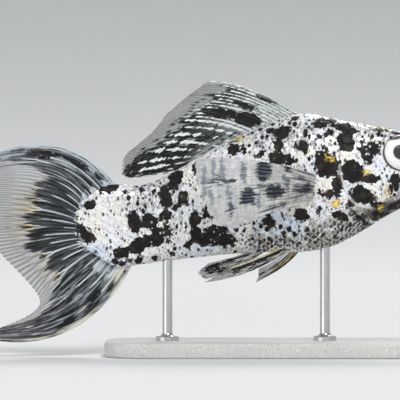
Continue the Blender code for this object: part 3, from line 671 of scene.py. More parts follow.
# How high its root, its free end and the bow of its middle stand, its thickness, and a full-sized one's step
SCALE_LIFT = 0.015
SCALE_RISE = 0.105
SCALE_BOW = 0.05
SCALE_WALL = 0.06
SCALE_STEP = 1.7
LARGE_ROWS = 11
SMALL_ROWS = 20
# Stations, and the share of the half girth from the back down below which the small scales take over
BREAST_STATIONS = (-14.0, -8.0, 0.0, 12.0, 22.0)
BREAST_SHARES = (1.05, 0.9, 0.82, 0.74, 0.55)


def arc_table():
    """For stations along the body, the share round it at equal steps of arc from back to belly."""
    stations = np.linspace(-39, 30, 140)
    shares = np.linspace(0, 0.5, 500)
    steps = np.linspace(0, 1, 201)
    table = []
    for x in stations:
        ring = body_point(np.full(shares.shape, x), shares)
        arc = np.concatenate([[0], np.cumsum(np.linalg.norm(np.diff(ring, axis=0), axis=1))])
        table.append(np.interp(steps, arc / arc[-1], shares))
    return stations, steps, np.array(table)


def share_at(table, x, fraction):
    """Share round the body at stations x and fractions of the half girth, read off the table."""
    stations, steps, shares = table
    i = np.clip((x - stations[0]) / (stations[1] - stations[0]), 0, len(stations) - 1.001)
    j = np.clip(fraction, 0, 1) * (len(steps) - 1.001)
    a, b = i.astype(int), j.astype(int)
    s, t = i - a, j - b
    low = shares[a, b] * (1 - t) + shares[a, b + 1] * t
    high = shares[a + 1, b] * (1 - t) + shares[a + 1, b + 1] * t
    return low * (1 - s) + high * s


def scale_template():
    """Place along and across a plate with a rounded rear edge, its faces, and its border's vertices."""
    size = SCALE_GRID
    along, across = np.meshgrid(np.linspace(0, 1, size), np.linspace(-1, 1, size), indexing="ij")
    along = along * (0.42 + 0.58 * np.sqrt(np.clip(1 - (0.97 * across) ** 2, 0, 1)))
    top = size * size
    border = [*range(size), *range(2 * size - 1, top, size), *range(top - 2, top - size - 1, -1),
              *range(top - 2 * size, 0, -size)]
    ring = len(border)
    faces = [(i * size + j, i * size + j + 1, (i + 1) * size + j + 1, (i + 1) * size + j)
             for i in range(size - 1) for j in range(size - 1)]
    faces += [(border[(k + 1) % ring], border[k], top + k, top + (k + 1) % ring) for k in range(ring)]
    faces.append(tuple(top + k for k in reversed(range(ring))))
    return along, across, faces, border


def scale_places(table, start, end, paces, rows, small):
    """Root station, share of the half girth, side and column length of every scale of one size.

    The columns run from start to end, and paces gives stations and the columns' lengths there.
    """
    columns = [start]
    while columns[-1] > end:
        columns.append(columns[-1] - np.interp(columns[-1], *paces))
    for number, x0 in enumerate(columns[1:]):
        pace = columns[number] - x0
        for side in (1, -1):
            for row in range(rows + 1):
                middle = (row + 0.5 * (number % 2)) / rows
                if middle > 1.0:
                    continue
                share = share_at(table, np.array([x0]), np.array([middle]))
                x, _, z = body_point(np.array([x0]), share)[0]
                limit = np.interp(x, BREAST_STATIONS, BREAST_SHARES)
                gill = line_distance(np.array([[x, z]]), GILL_SMOOTH)[0][0]
                nape = z > 43.0 and x > 12
                fold = line_distance(np.array([[x, z]]), MEMBRANE_SMOOTH)[0][0]
                if small != (middle > limit) or x < tail_end_x(z) + 0.5 or x > 27:
                    continue
                if not small and gill > -0.15 and not nape:
                    continue
                if small and (fold > -0.1 or gill > -0.15):
                    continue
                yield x0, middle, side, pace


def body_scales(material):
    """Overlapping scales in staggered rows from the gill covers to the tail, over the nape and the breast."""
    random = np.random.default_rng(SEED)
    table = arc_table()
    a, b, plate, border = scale_template()
    vertices, faces, uvs, rims, tones = [], [], [], [], []
    large_paces = ((-38, -20, 0, 14, 26), (1.2, 1.5, 1.75, 1.7, 1.3))
    small_paces = ((-12, 0, 24), (1.0, 0.85, 0.75))
    large = scale_places(table, 27.5, -37.5, large_paces, LARGE_ROWS, small=False)
    small = scale_places(table, 24.0, -12.0, small_paces, SMALL_ROWS, small=True)
    for rows, places in ((LARGE_ROWS, large), (SMALL_ROWS, small)):
        for x0, middle, side, pace in places:
            jitter = random.uniform(-1, 1, 4)
            x = x0 + pace * 0.5 - a * pace * (SCALE_LENGTH + 0.08 * jitter[0])
            fraction = middle + (b * SCALE_HALF_WIDTH + jitter[1] * 0.02) / rows
            # A plate on the back or the belly goes over to the other side
            over = (fraction < 0) | (fraction > 1)
            turned = np.where(fraction < 0, -fraction, np.where(fraction > 1, 2 - fraction, fraction))
            share = share_at(table, x, turned)
            share = np.where(over, -share, share) * side
            thick = min(pace / SCALE_STEP, 1.0)
            height = SCALE_LIFT + thick * ((SCALE_RISE + 0.025 * jitter[2]) * a + SCALE_BOW * (1 - b**2) * a)
            height = np.where(np.abs(b) > 0.9, height - SCALE_WALL / 2, height)
            point = body_point(x, share)
            normal = body_normal(x, share)
            outer = (point + normal * height[..., None]).reshape(-1, 3)
            inner = (point + normal * (height - SCALE_WALL)[..., None]).reshape(-1, 3)[border]
            start = len(vertices) * (len(outer) + len(border))
            vertices.append(np.concatenate([outer, inner]))
            faces += [tuple(start + k for k in face) for face in plate]
            end = np.linspace(0, 1, SCALE_GRID)[:, None] ** 2
            rim = np.maximum(np.abs(b) ** 3 * 0.9, end).reshape(-1)
            rims.append(np.concatenate([rim, rim[border]]))
            tones.append(np.full(len(rim) + len(border), random.random()))
            spot = ((x0 + 40) / 76, (middle * 0.5 if side > 0 else 1 - middle * 0.5))
            local = np.stack([spot[0] - a * SCALE_PATCH, spot[1] + b * SCALE_PATCH / 2], axis=-1)
            local = local.reshape(-1, 2)
            uvs.append(np.concatenate([local, local[border]]))
    points = np.concatenate(vertices)
    mesh = bpy.data.meshes.new("scales")
    mesh.from_pydata(points * MM, [], faces)
    keep_uv(mesh, mesh.uv_layers.new(name="OFBake"), np.clip(np.concatenate(uvs), 0.001, 0.999))
    obj = bpy.data.objects.new("scales", mesh)
    bpy.context.scene.collection.objects.link(obj)
    add_marks(obj, points)
    keep_attributes(obj, {"rim": np.concatenate(rims), "tone": np.concatenate(tones)})
    close_mesh(obj)
    return dress(obj, material, "skin")


# Fins: rays given by four points each, in the middle plane unless three numbers are given
FIN_ROOT_SINK = 0.7
# Shares of a ray's length where it parts and its branches part, and how far their tips pass the membrane
RAY_FORK = 0.4
RAY_REFORK = 0.66
RAY_FRINGE = 0.012
# Half width of a branch, where the space between two rays is 1
BRANCH_WIDTH = 0.075


def tail_edge(share, beyond):
    """Point where the scaled flesh ends, from the upper corner (0) to the lower (1), moved back by beyond."""
    swing = 2 * share - 1
    x = TAIL_TOP[0] + (TAIL_FOOT[0] - TAIL_TOP[0]) * share - (TAIL_BULGE + beyond) * (1 - swing**2) ** 0.85
    z = TAIL_TOP[1] + (TAIL_FOOT[1] - TAIL_TOP[1]) * share
    corner = abs(swing) ** 3 * beyond * 0.7
    return x - corner, z - math.copysign(corner, swing * beyond)


def fin_piece(name, keys, places, material, nodes, marks, rays, rows, thick, web=0.06, ruffle=None,
              bands=None):
    """A thin membrane with rays as ridges in it, which fork twice.

    keys are the known rays and places their shares of the way across, thick is a ray's half thickness at its
    root and web the membrane's, marks gives the values that colour it, ruffle its ripple, and bands the rows
    of dashes for places across the rays.
    """
    random = np.random.default_rng(len(name) * 7 + rays)
    spacing = 1 / (rays - 1)
    ray, part = np.array([(i, offset) for i in range(rays) for offset in np.arange(-4, 4) / 8
                          if -1e-9 <= (i + offset) * spacing <= 1 + 1e-9]).T
    share = (ray + part) * spacing
    along = np.linspace(0, 1, rows + 1)[:, None]
    # The branches drift apart as they run out
    drift = 0.25 * ramp(along, RAY_FORK, RAY_FORK + 0.25)
    again = 0.125 * ramp(along, RAY_REFORK, RAY_REFORK + 0.2)
    centred = np.abs(part)[None, :]
    crest = np.maximum(bell(centred - drift - again, BRANCH_WIDTH),
                       bell(centred - drift + again, BRANCH_WIDTH))
    crest[:, (share < 1e-6) | (share > 1 - 1e-6)] = 1.0
    half = web + (thick - web) * crest * (1 - 0.75 * along)
    lines = spline([np.asarray(key, float).reshape(12) for key in keys],
                   np.interp(share, places, range(len(places)))).reshape(-1, 4, 3)
    tips = 1 + RAY_FRINGE * (crest[-1] - 0.5) + random.uniform(-0.008, 0.008, rays)[ray.astype(int)]
    t = (along * tips)[..., None]
    points = (lines[:, 0] * (1 - t) ** 3 + 3 * lines[:, 1] * t * (1 - t) ** 2
              + 3 * lines[:, 2] * t * t * (1 - t) + lines[:, 3] * t**3)
    if ruffle:
        points[..., 1] += ruffle(share[None, :], along)
    points[..., 1] += sway(points[..., 0])
    obj = grid_piece(name, points)
    obj.data.uv_layers[0].name = "rays"
    lengths = np.linalg.norm(np.diff(points, axis=0), axis=2)
    length = np.concatenate([np.zeros((1, len(share))), np.cumsum(lengths, axis=0)])
    across = np.interp(ray + part, *bands) if bands else ray + part
    across = np.broadcast_to(across, length.shape)
    keep_uv(obj.data, obj.data.uv_layers[0], np.stack([across.reshape(-1), length.reshape(-1)], axis=-1))
    x, z = points[..., 0], points[..., 2]
    values = {"crest": crest, **marks(x, z, np.broadcast_to(share, x.shape), np.broadcast_to(along, x.shape))}
    keep_attributes(obj, {title: np.broadcast_to(value, x.shape) for title, value in values.items()})
    group = obj.vertex_groups.new(name="thickness")
    for index, weight in enumerate((half / half.max()).reshape(-1)):
        group.add([index], float(weight), "REPLACE")
    select_only(obj)
    wall = obj.modifiers.new("Thickness", "SOLIDIFY")
    wall.thickness = 2 * half.max() * MM
    wall.offset = 0
    wall.vertex_group = "thickness"
    bpy.ops.object.modifier_apply(modifier=wall.name)
    close_mesh(obj)
    return dress(obj, material, "fin", *nodes)


# What colours a membrane: ink its black, white its pale dashes, tick the dark ticks between rays, haze a grey
# cloud, hair pale threads, bare where it clears, gold where the white turns yellow, and lead a solid border
# in the light colour
CHALK = (0.88, 0.90, 0.91)
CHALK_BLUE = (0.62, 0.67, 0.72)
BONE = (0.80, 0.76, 0.66)
DULL_WHITE = (0.35, 0.38, 0.40)
SMOKE_BLACK = (0.010, 0.010, 0.012)
SMOKE_GREY = (0.045, 0.048, 0.048)
WEB_GREY = (0.36, 0.37, 0.37)
WEB_INK = (0.012, 0.012, 0.014)
HAZE_GREY = (0.46, 0.50, 0.49)
HAZE_BLUE = (0.34, 0.42, 0.45)
HAZE_WHITE = (0.52, 0.56, 0.55)
RAY_GREY = (0.06, 0.06, 0.065)
RAY_BROWN = (0.16, 0.14, 0.13)
HAIR_GREY = (0.26, 0.29, 0.32)
WEB_GOLD = (0.80, 0.60, 0.16)
DULL_GOLD = (0.42, 0.30, 0.10)
FAN_WHITE = (0.96, 0.94, 0.89)
FAN_GREY = (0.19, 0.215, 0.24)
FAN_INK = (0.018, 0.020, 0.028)
FAN_RAY = (0.40, 0.41, 0.44)
FAN_DARK_RAY = (0.32, 0.36, 0.42)


def fin_material(name, dash, web_alpha, light=CHALK, on_rays=False):
    """Smoky membrane with rows of pale dashes, clear towards its edge.

    dash is a dash's length in millimetres, web_alpha how solid the clear part is, light the colour of the
    dashes, and on_rays puts them on the rays and not between them.
    """
    material, graph, surface = new_material(name)
    rays, across, along = graph.ray_map()
    place = graph.coordinates()
    crest, ink, gold, haze = graph.attributes("crest", "ink", "gold", "haze")
    row = graph.math("ROUND", across)
    beside = graph.math("ABSOLUTE", graph.math("SUBTRACT", across, row))
    own = {"X": graph.times(row, 5.37), "Y": graph.math("DIVIDE", along, dash), "Z": graph.times(beside, 0.8)}
    own = graph.node("ShaderNodeCombineXYZ", own).outputs[0]
    dashes = graph.noise(own, 1.0, 1.5, 0.55)
    each = graph.node("ShaderNodeTexWhiteNoise", {"W": row}, noise_dimensions="1D").outputs["Value"]
    fine = graph.noise(graph.stretch(rays, (4.0, 1.2 / dash, 1)), 1.0, 3)
    white = graph.vary(dashes, graph.attribute("white"), 0.6)
    white = graph.vary(white, graph.noise(place, 2600), 0.16)
    if on_rays:
        white = graph.scaled(graph.rest(graph.soft(crest, 0.12, 0.5)), -0.38, white)
        white = graph.vary(white, each, 0.14)
    else:
        wobble = graph.vary(beside, graph.noise(graph.stretch(own, (1.0, 1.6, 0.3)), 1.3, 1.0), 0.55)
        white = graph.scaled(graph.soft(wobble, 0.06, 0.42), -0.50, white)
    white = graph.soft(white, 0.40, 0.52)
    torn = graph.times(graph.centred(graph.noise(place, 1100, 3, 0.6)), 1.9)
    ink = graph.vary(graph.scaled(ink, torn, ink), fine, 1.0)
    tick = graph.times(graph.attribute("tick"), graph.soft(beside, 0.22, 0.38))
    ink = graph.larger(graph.soft(ink, 0.42, 0.58), tick)
    toward_edge = graph.vary(graph.attribute("bare"), dashes, 0.7)
    toward_edge = graph.vary(toward_edge, each, 0.55)
    toward_edge = graph.scaled(graph.math("SUBTRACT", beside, 0.25), 0.6, toward_edge)
    if on_rays:
        toward_edge = graph.vary(toward_edge, fine, 1.5)
    bare = graph.soft(toward_edge, 0.30, 0.74)
    smoke = graph.mix(graph.soft(fine, 0.4, 0.75), SMOKE_BLACK, SMOKE_GREY)
    veil = graph.cloud(graph.stretch(own, (1.0, 1.7, 1.0)), 2.0, 0.34, 0.54)
    smoke = graph.tint(smoke, HAZE_BLUE if on_rays else HAZE_GREY, haze, veil)
    if on_rays:
        hair = graph.cloud(graph.stretch(rays, (5.5, 0.16, 1)), 1.0, 0.50, 0.60, 2, 0.6)
        smoke = graph.tint(smoke, HAIR_GREY, hair, graph.attribute("hair"))
        faint = graph.times(graph.soft(crest, 0.1, 0.6), graph.soft(dashes, 0.3, 0.6))
        smoke = graph.tint(smoke, RAY_BROWN, faint, 0.5)
    pale = graph.tint(light, DULL_WHITE, graph.soft(fine, 0.35, 0.6), 0.6 if on_rays else 0.3)
    if not on_rays:
        pale = graph.tint(pale, HAZE_WHITE, haze, 0.62)
    colour = graph.mix(white, smoke, graph.mix(gold, pale, WEB_GOLD))
    clear = graph.tint(WEB_GREY, DULL_GOLD, gold, graph.soft(dashes, 0.4, 0.6))
    colour = graph.mix(bare, colour, graph.tint(clear, RAY_GREY, crest, 0.6))
    colour = graph.mix(ink, colour, WEB_INK)
    lead = graph.times(graph.attribute("lead"), graph.soft(fine, 0.36, 0.6))
    colour = graph.mix(lead, colour, graph.mix(gold, light, WEB_GOLD))
    solid = graph.larger(ink, lead, graph.rest(bare))
    alpha = graph.scaled(crest, 0.4, graph.scaled(gold, 0.2, web_alpha))
    knots = graph.node("ShaderNodeTexWave", {"Vector": graph.stretch(rays, (0.0, 1.0, 1)), "Scale": 0.55},
                       bands_direction="Y").outputs["Fac"]
    graph.fill(surface, {
        "Base Color": colour,
        "Roughness": 0.42,
        "Alpha": graph.larger(graph.times(solid, 0.98), alpha, clamp=True),
        "Specular IOR Level": 0.14,
        "Coat Weight": 0.05,
        "Coat Roughness": 0.15,
        "Normal": graph.bump(graph.times(knots, crest), 0.15, 0.06),
    })
    return material


def pectoral_material():
    """Cloudy and half clear, with fine rays, grey upright bars and a few dark patches."""
    material, graph, surface = new_material("clear_membrane")
    place = graph.coordinates()
    rays, _, length = graph.ray_map()
    crest = graph.soft(graph.attribute("crest"), 0.03, 0.4)
    threads = graph.cloud(graph.stretch(place, (0.12, 1.0, 1.0)), 2600, 0.36, 0.62)
    cloud = graph.centred(graph.noise(graph.stretch(place, (1.0, 0.4, 0.6)), 800, 3, 0.65))
    combed = graph.centred(graph.noise(graph.stretch(rays, (3.4, 0.34, 1)), 1.0, 3, 0.6))
    near = graph.scaled(graph.soft(length, 12.0, 4.0), 0.68, 0.32)
    streak = graph.times(threads, 0.3)
    ink = graph.scaled(cloud, 1.6, graph.math("ADD", streak, graph.attribute("ink")))
    ink = graph.soft(graph.scaled(combed, 4.2, ink), -0.15, 0.35)
    runs = graph.times(graph.cloud(graph.stretch(rays, (2.3, 0.14, 1)), 1.0, 0.49, 0.57, 2, 0.6), near)
    # The line marks add thin dark lines, the first of them painted shadow of the lowest ray
    ink = graph.larger(ink, graph.times(runs, 0.75), graph.attribute("line"))
    grey = graph.scaled(cloud, 2.4, graph.math("ADD", streak, graph.attribute("grey")))
    grey = graph.soft(graph.scaled(combed, 1.6, grey), -0.1, 0.4)
    fine = graph.cloud(graph.stretch(place, (1.2, 0.25, 0.3)), 1500, 0.46, 0.60)
    grey = graph.larger(grey, graph.times(fine, 0.3))
    tone = graph.mix(ink, graph.mix(grey, FAN_WHITE, FAN_GREY), FAN_INK)
    line = graph.mix(graph.larger(ink, grey), FAN_RAY, FAN_DARK_RAY)
    lines = graph.times(crest, graph.scaled(threads, 0.6, 0.35))
    alpha = graph.scaled(lines, 0.3, graph.scaled(grey, 0.15, 0.46))
    alpha = graph.scaled(ink, 0.6, alpha, clamp=True)
    root = graph.scaled(graph.soft(length, 0.3, 3.0), 0.75, 0.25)
    graph.fill(surface, {
        "Base Color": graph.tint(tone, line, lines, graph.scaled(ink, -0.45, 0.8)),
        "Roughness": 0.34,
        "Alpha": graph.times(alpha, root),
        "Specular IOR Level": 0.2,
    })
    return material


def flat_ray(points):
    """A ray in the fish's middle plane."""
    return [(x, 0.0, z) for x, z in points]


def dorsal_fin(material):
    rays = (
        (6.6, (-5.6, 2.4), (-13.0, 6.9), (-19.2, 6.2)),
        (2.4, (-5.4, 2.6), (-12.4, 4.6), (-19.6, 3.6)),
        (-2.2, (-4.8, 1.9), (-11.8, 3.2), (-18.4, 2.2)),
        (-6.4, (-5.2, 1.1), (-11.6, 1.6), (-18.0, -0.2)),
        (-10.8, (-5.2, 0.2), (-12.2, 0.2), (-18.0, -1.7)),
        (-13.2, (-4.6, -1.2), (-11.8, -2.2), (-16.4, -3.6)),
        (-15.4, (-3.8, -1.3), (-8.6, -2.7), (-13.6, -3.3)),
        (-18.2, (-2.8, -0.9), (-6.2, -1.8), (-9.6, -2.0)),
    )
    keys = []
    for x, *moves in rays:
        back = float(section_at(x)[1])
        keys.append(flat_ray([(x, back - FIN_ROOT_SINK), *[(x + dx, back + 0.3 + dz) for dx, dz in moves]]))

    def marks(x, z, share, along):
        spots = ((-9.4, 48.3, 3.6, 1.0, -5), (-4.6, 47.2, 2.7, 1.4, -10), (-22.0, 36.4, 4.0, 0.7, 4),
                 (-16.6, 37.6, 3.0, 0.8, 14), (-0.8, 51.4, 1.8, 0.5, -22), (-5.2, 50.0, 2.4, 0.5, -20))
        front = ramp(share, 0.6, 0.35) * ramp(along, 0.62, 0.2)
        tail = ramp(share, 0.66, 0.86)
        band = 0.81 + 0.03 * np.sin(31 * share) + 0.15 * tail
        return {
            "tick": ramp(np.abs(along - band), 0.035, 0.012) * ramp(share, 0.12, 0.2),
            "ink": ramp(spots_depth(x, z, spots), -0.9, 0.7),
            "haze": np.maximum(0.85 * ramp(share, 0.62, 0.3) * ramp(along, 0.72, 0.25),
                               0.7 * ramp(along, 0.3, 0.06)),
            "white": 0.40 + 0.36 * front + 0.22 * bell(along - 0.52, 0.18),
            "bare": ramp(along, 0.60 + 0.30 * tail, 0.90 + 0.30 * tail),
            "gold": 0.6 * ramp(along, 0.97, 1.0),
            "lead": np.maximum.reduce([
                ramp(share, 0.04, 0.0) * ramp(along, 0.2, 0.6),
                ramp(share, 0.955, 0.985),
                0.95 * ramp(along, 0.97, 0.985) * ramp(share, 0.68, 0.8),
            ]),
        }

    def ruffle(share, along):
        return 0.9 * np.sin(2.2 * np.pi * share + 0.6) * along**2

    places = (0, 0.18, 0.36, 0.54, 0.70, 0.82, 0.91, 1)
    return fin_piece("dorsal_sail", keys, places, material, ["dorsal_fin"], marks, rays=15, rows=76,
                     thick=0.2, ruffle=ruffle, bands=((-1, 0, 6, 16), (-2, 0, 12, 22)))


def tail_fin(material):
    rays = (
        (0.0, (-35.6, 40.6), (-45.6, 46.6), (-63.6, 37.0)),
        (0.13, (-39.4, 39.0), (-48.4, 41.4), (-60.0, 36.6)),
        (0.26, (-39.8, 35.4), (-47.2, 38.2), (-56.6, 36.0)),
        (0.40, (-42.0, 31.4), (-49.0, 32.8), (-56.2, 32.2)),
        (0.50, (-43.0, 27.6), (-49.2, 27.6), (-55.8, 27.6)),
        (0.62, (-42.4, 23.6), (-48.4, 22.2), (-53.8, 21.2)),
        (0.78, (-39.2, 18.8), (-43.2, 14.8), (-45.8, 10.9)),
        (0.90, (-36.6, 12.8), (-42.4, 7.0), (-53.6, 5.7)),
        (1.0, (-31.6, 10.0), (-42.0, -1.9), (-60.8, 4.8)),
    )
    keys = [flat_ray([tail_edge(share, -FIN_ROOT_SINK), *points]) for share, *points in rays]

    def marks(x, z, share, along):
        limit = np.interp(share, (0, 0.09, 0.16, 0.24, 0.4, 0.5, 0.62, 0.72, 0.8, 0.86, 0.93, 1),
                          (1.3, 1.0, 0.62, 0.56, 0.60, 0.62, 0.66, 0.66, 0.68, 0.74, 1.1, 1.3))
        pale = ((-36.5, 21.5, 3.0, 3.0, 0), (-38.5, 36.5, 4.0, 1.6, 50), (-37.0, 33.0, 3.0, 2.0, 0),
                (-41.0, 41.5, 5.0, 1.2, 25), (-38.5, 25.0, 2.5, 2.0, 0))
        black = ((-44.4, 40.8, 4.4, 1.5, 6), (-38.8, 38.9, 3.4, 1.2, -32), (-33.8, 35.8, 1.7, 0.8, -38),
                 (-50.0, 41.2, 2.0, 0.5, 8), (-35.2, 11.6, 2.2, 0.8, 48), (-40.6, 6.9, 2.4, 0.6, 36))
        streaks = ramp(along, limit * 0.9, limit * 0.35)
        return {
            "ink": 0.74 * ramp(spots_depth(x, z, black), -0.7, 0.6),
            "white": (0.34 + 0.25 * streaks + 0.06 * ramp(spots_depth(x, z, pale), -1.5, 1.5)
                      - 0.16 * ramp(share, 0.76, 0.86) * ramp(along, 0.1, 0.3)
                      + 0.7 * ramp(along, 0.14 + 0.18 * ramp(share, 0.55, 0.8), 0.02)),
            "hair": 0.25 + 0.75 * np.maximum(ramp(share, 0.70, 0.84), ramp(share, 0.30, 0.16)),
            "haze": np.maximum(0.75 * ramp(share, 0.09, 0.03),
                               0.45 * ramp(share, 0.7, 0.85) * ramp(along, 0.22, 0.05)),
            "bare": ramp(along - limit, -0.16, 0.16),
            "gold": (0.7 * ramp(share, 0.26, 0.46) * ramp(share, 0.9, 0.76) * ramp(along - limit, 0.24, 0.06)
                     * ramp(along - limit, -0.16, -0.03)) + 0.3 * ramp(share, 0.94, 0.96),
            "lead": np.maximum(ramp(share, 0.05, 0.01), ramp(share, 0.98, 0.992)) * ramp(along, 0.02, 0.1),
        }

    def ruffle(share, along):
        return (1.1 * np.sin(3.0 * np.pi * share + 0.8) + 1.4 * (2 * share - 1) ** 2) * along**2

    return fin_piece("lyre_tail", keys, [ray[0] for ray in rays], material,
                     ["caudal_fin_upper", "caudal_fin_middle", "caudal_fin_lower"], marks,
                     rays=23, rows=84, thick=0.24, ruffle=ruffle)


# Dark patches, grey bars and thin dark lines of the pectoral fins, given as the marks of the side are
PECTORAL_SPOTS = (
    (-1.5, 37.0, 1.5, 2.3), (0.6, 32.8, 2.2, 1.4), (-4.6, 31.6, 1.5, 1.7), (-10.5, 34.8, 2.1, 0.6),
    (-8.0, 29.4, 0.8, 0.9), (3.3, 37.2, 0.9, 0.8, -20), (6.4, 33.4, 2.0, 1.0, 10),
)
PECTORAL_BARS = (
    (-13.2, 35.5, 0.5, 3.4), (-11.4, 37.0, 0.3, 2.2), (-9.8, 36.6, 0.5, 3.4), (-5.4, 36.2, 0.6, 2.6),
    (-8.2, 31.2, 0.5, 2.8), (-2.4, 31.0, 0.5, 1.4), (3.0, 34.9, 0.6, 1.6), (-11.8, 31.8, 0.5, 1.8),
    (-1.5, 33.9, 1.8, 0.4), (5.8, 35.4, 1.6, 0.4, -15), (2.0, 30.4, 2.4, 0.3, 14),
)
PECTORAL_LINES_AND_RAY_SHADOW = (
    # The first line runs along the lowest ray and is painted shadow of that ray
    (0.4, 29.5, 3.4, 0.22, 18), (6.6, 36.5, 2.4, 0.2, -17), (5.4, 35.2, 2.6, 0.18, -10),
    (4.8, 31.7, 2.4, 0.2, 12), (-3.4, 33.4, 2.6, 0.16, 4),
)


def pectoral_fin(side, material):
    rays = (
        ((9.6, 35.4), (4.4, 3.4, 38.2), (-6.0, 5.4, 39.8), (-14.6, 7.6, 39.2)),
        ((9.5, 34.4), (4.0, 3.6, 36.2), (-6.0, 5.8, 37.4), (-14.8, 8.2, 36.6)),
        ((9.3, 33.2), (3.6, 3.6, 33.4), (-5.6, 5.8, 33.4), (-13.8, 8.2, 32.4)),
        ((9.1, 32.0), (3.8, 3.3, 31.2), (-4.4, 5.2, 29.8), (-11.4, 7.2, 27.6)),
        ((8.9, 31.0), (4.0, 2.8, 30.0), (-2.0, 4.2, 28.4), (-7.6, 5.6, 25.4)),
    )
    keys = []
    for (x, z), *points in rays:
        skin = half_width(x, z)
        root = (x + 0.3, side * (skin - 0.5), z)
        keys.append([root, *[(px, side * (skin + py), pz) for px, py, pz in points]])

    def marks(x, z, share, along):
        return {
            "ink": np.clip(spots_depth(x, z, PECTORAL_SPOTS), -2, 2),
            "grey": np.clip(spots_depth(x, z, PECTORAL_BARS), -2, 2),
            "line": 0.9 * ramp(spots_depth(x, z, PECTORAL_LINES_AND_RAY_SHADOW), -0.12, 0.08),
        }

    label = "left" if side > 0 else "right"
    return fin_piece(f"pectoral_fan_{label}", keys, (0, 0.25, 0.5, 0.75, 1), material,
                     [f"pectoral_fin_{label}"], marks, rays=14, rows=60, thick=0.14, web=0.04)


# How far from the middle plane the pelvic fins start
PELVIC_ROOT = 1.9


def belly_height(x, aside):
    """Height of the belly's skin at that station and distance from the middle plane."""
    _, back, belly, half, level, _, lower = section_at(x)
    widest = belly + level * (back - belly)
    return widest - (widest - belly) * (1 - min(abs(aside) / half, 1) ** lower) ** (1 / lower)


def belly_fin(name, rays, material, node, marks, number, rows, aside=0.0, side=1):
    """A fin whose rays start just inside the belly's skin."""
    keys = []
    for x, *points in rays:
        root = (x, side * aside, belly_height(x, aside) + 0.5)
        keys.append([root, *[(px, side * py, pz) for px, py, pz in points]])
    return fin_piece(name, keys, np.linspace(0, 1, len(rays)), material, [node], marks, rays=number,
                     rows=rows, thick=0.2)


def pelvic_fins(material):
    near = (
        (4.8, (0.4, 2.3, 18.6), (-5.0, 2.8, 15.6), (-12.8, 3.2, 14.8)),
        (3.8, (-0.4, 2.3, 19.4), (-5.0, 2.9, 17.4), (-11.0, 3.4, 15.8)),
        (2.6, (-1.0, 2.2, 20.0), (-4.6, 2.8, 18.9), (-8.4, 3.4, 17.6)),
    )
    far = (
        (6.6, (4.4, 2.6, 18.6), (1.2, 3.6, 16.4), (-2.8, 4.6, 14.5)),
        (5.4, (3.2, 2.5, 18.9), (0.6, 3.4, 17.3), (-2.2, 4.2, 15.8)),
        (4.2, (2.0, 2.3, 19.2), (0.0, 3.0, 18.2), (-2.2, 3.8, 17.2)),
    )

    def near_marks(x, z, share, along):
        bold = ramp(share, 0.78, 0.9)
        return {
            "ink": 0.62 * ramp(share, 0.5, 0.6) * ramp(share, 0.86, 0.78) * ramp(along, 0.95, 0.8),
            "white": 0.46 + 0.4 * bold + 0.2 * ramp(share, 0.5, 0.1) * ramp(along, 0.4, 0.7),
            "bare": ramp(along, 0.75, 1.0) + 0.3 * ramp(share, 0.6, 0.2) - 0.4 * bold,
            "gold": bold * (0.35 + 0.65 * ramp(along, 0.45, 0.1)),
            "lead": bold * ramp(along, 0.98, 0.85),
        }

    def far_marks(x, z, share, along):
        return {
            "ink": 0.85 * ramp(share, 0.22, 0.1) * ramp(along, 0.72, 0.6),
            "white": 0.5,
            "bare": 0.62 - 0.7 * ramp(share, 0.5, 0.3) * ramp(along, 0.75, 0.6),
            "gold": ramp(share, 0.12, 0.25) * ramp(share, 0.55, 0.4) * ramp(along, 0.8, 0.6),
            "lead": 0.9 * ramp(share, 0.14, 0.24) * ramp(share, 0.45, 0.32) * ramp(along, 0.75, 0.6),
        }

    belly_fin("pelvic_fan_right", near, material, "pelvic_fin_right", near_marks, 8, 44, PELVIC_ROOT, -1)
    belly_fin("pelvic_fan_left", far, material, "pelvic_fin_left", far_marks, 8, 40, PELVIC_ROOT, 1)


def anal_fin(material):
    rays = (
        (-0.4, (-3.6, 0.0, 18.8), (-7.0, 0.0, 17.0), (-12.8, 0.0, 15.2)),
        (-2.0, (-5.4, 0.0, 19.4), (-9.0, 0.0, 18.2), (-14.2, 0.0, 16.6)),
        (-3.8, (-6.0, 0.0, 19.9), (-9.0, 0.0, 19.3), (-12.4, 0.0, 18.4)),
    )

    def marks(x, z, share, along):
        return {
            "ink": (0.68 * ramp(along, 0.34, 0.78) * ramp(along, 1.0, 0.86)
                    * ramp(np.abs(share - 0.5), 0.6, 0.2)),
            "white": 0.5,
            "bare": 0.30 + 0.25 * ramp(along, 0.5, 1.0),
            "gold": 0,
            "lead": ramp(share, 0.12, 0.0),
        }

    belly_fin("anal_rays", rays, material, "anal_fin", marks, 7, 40)


IRIS_PALE = (0.98, 0.97, 0.94)
IRIS_DULL = (0.88, 0.87, 0.84)
IRIS_SHADOW = (0.02, 0.016, 0.014)
RIM_ABOVE = (0.55, 0.53, 0.47)
RIM_BELOW = (0.16, 0.14, 0.11)
PUPIL_HALO = (0.42, 0.38, 0.28)
PUPIL_BLACK = (0.003, 0.003, 0.006)


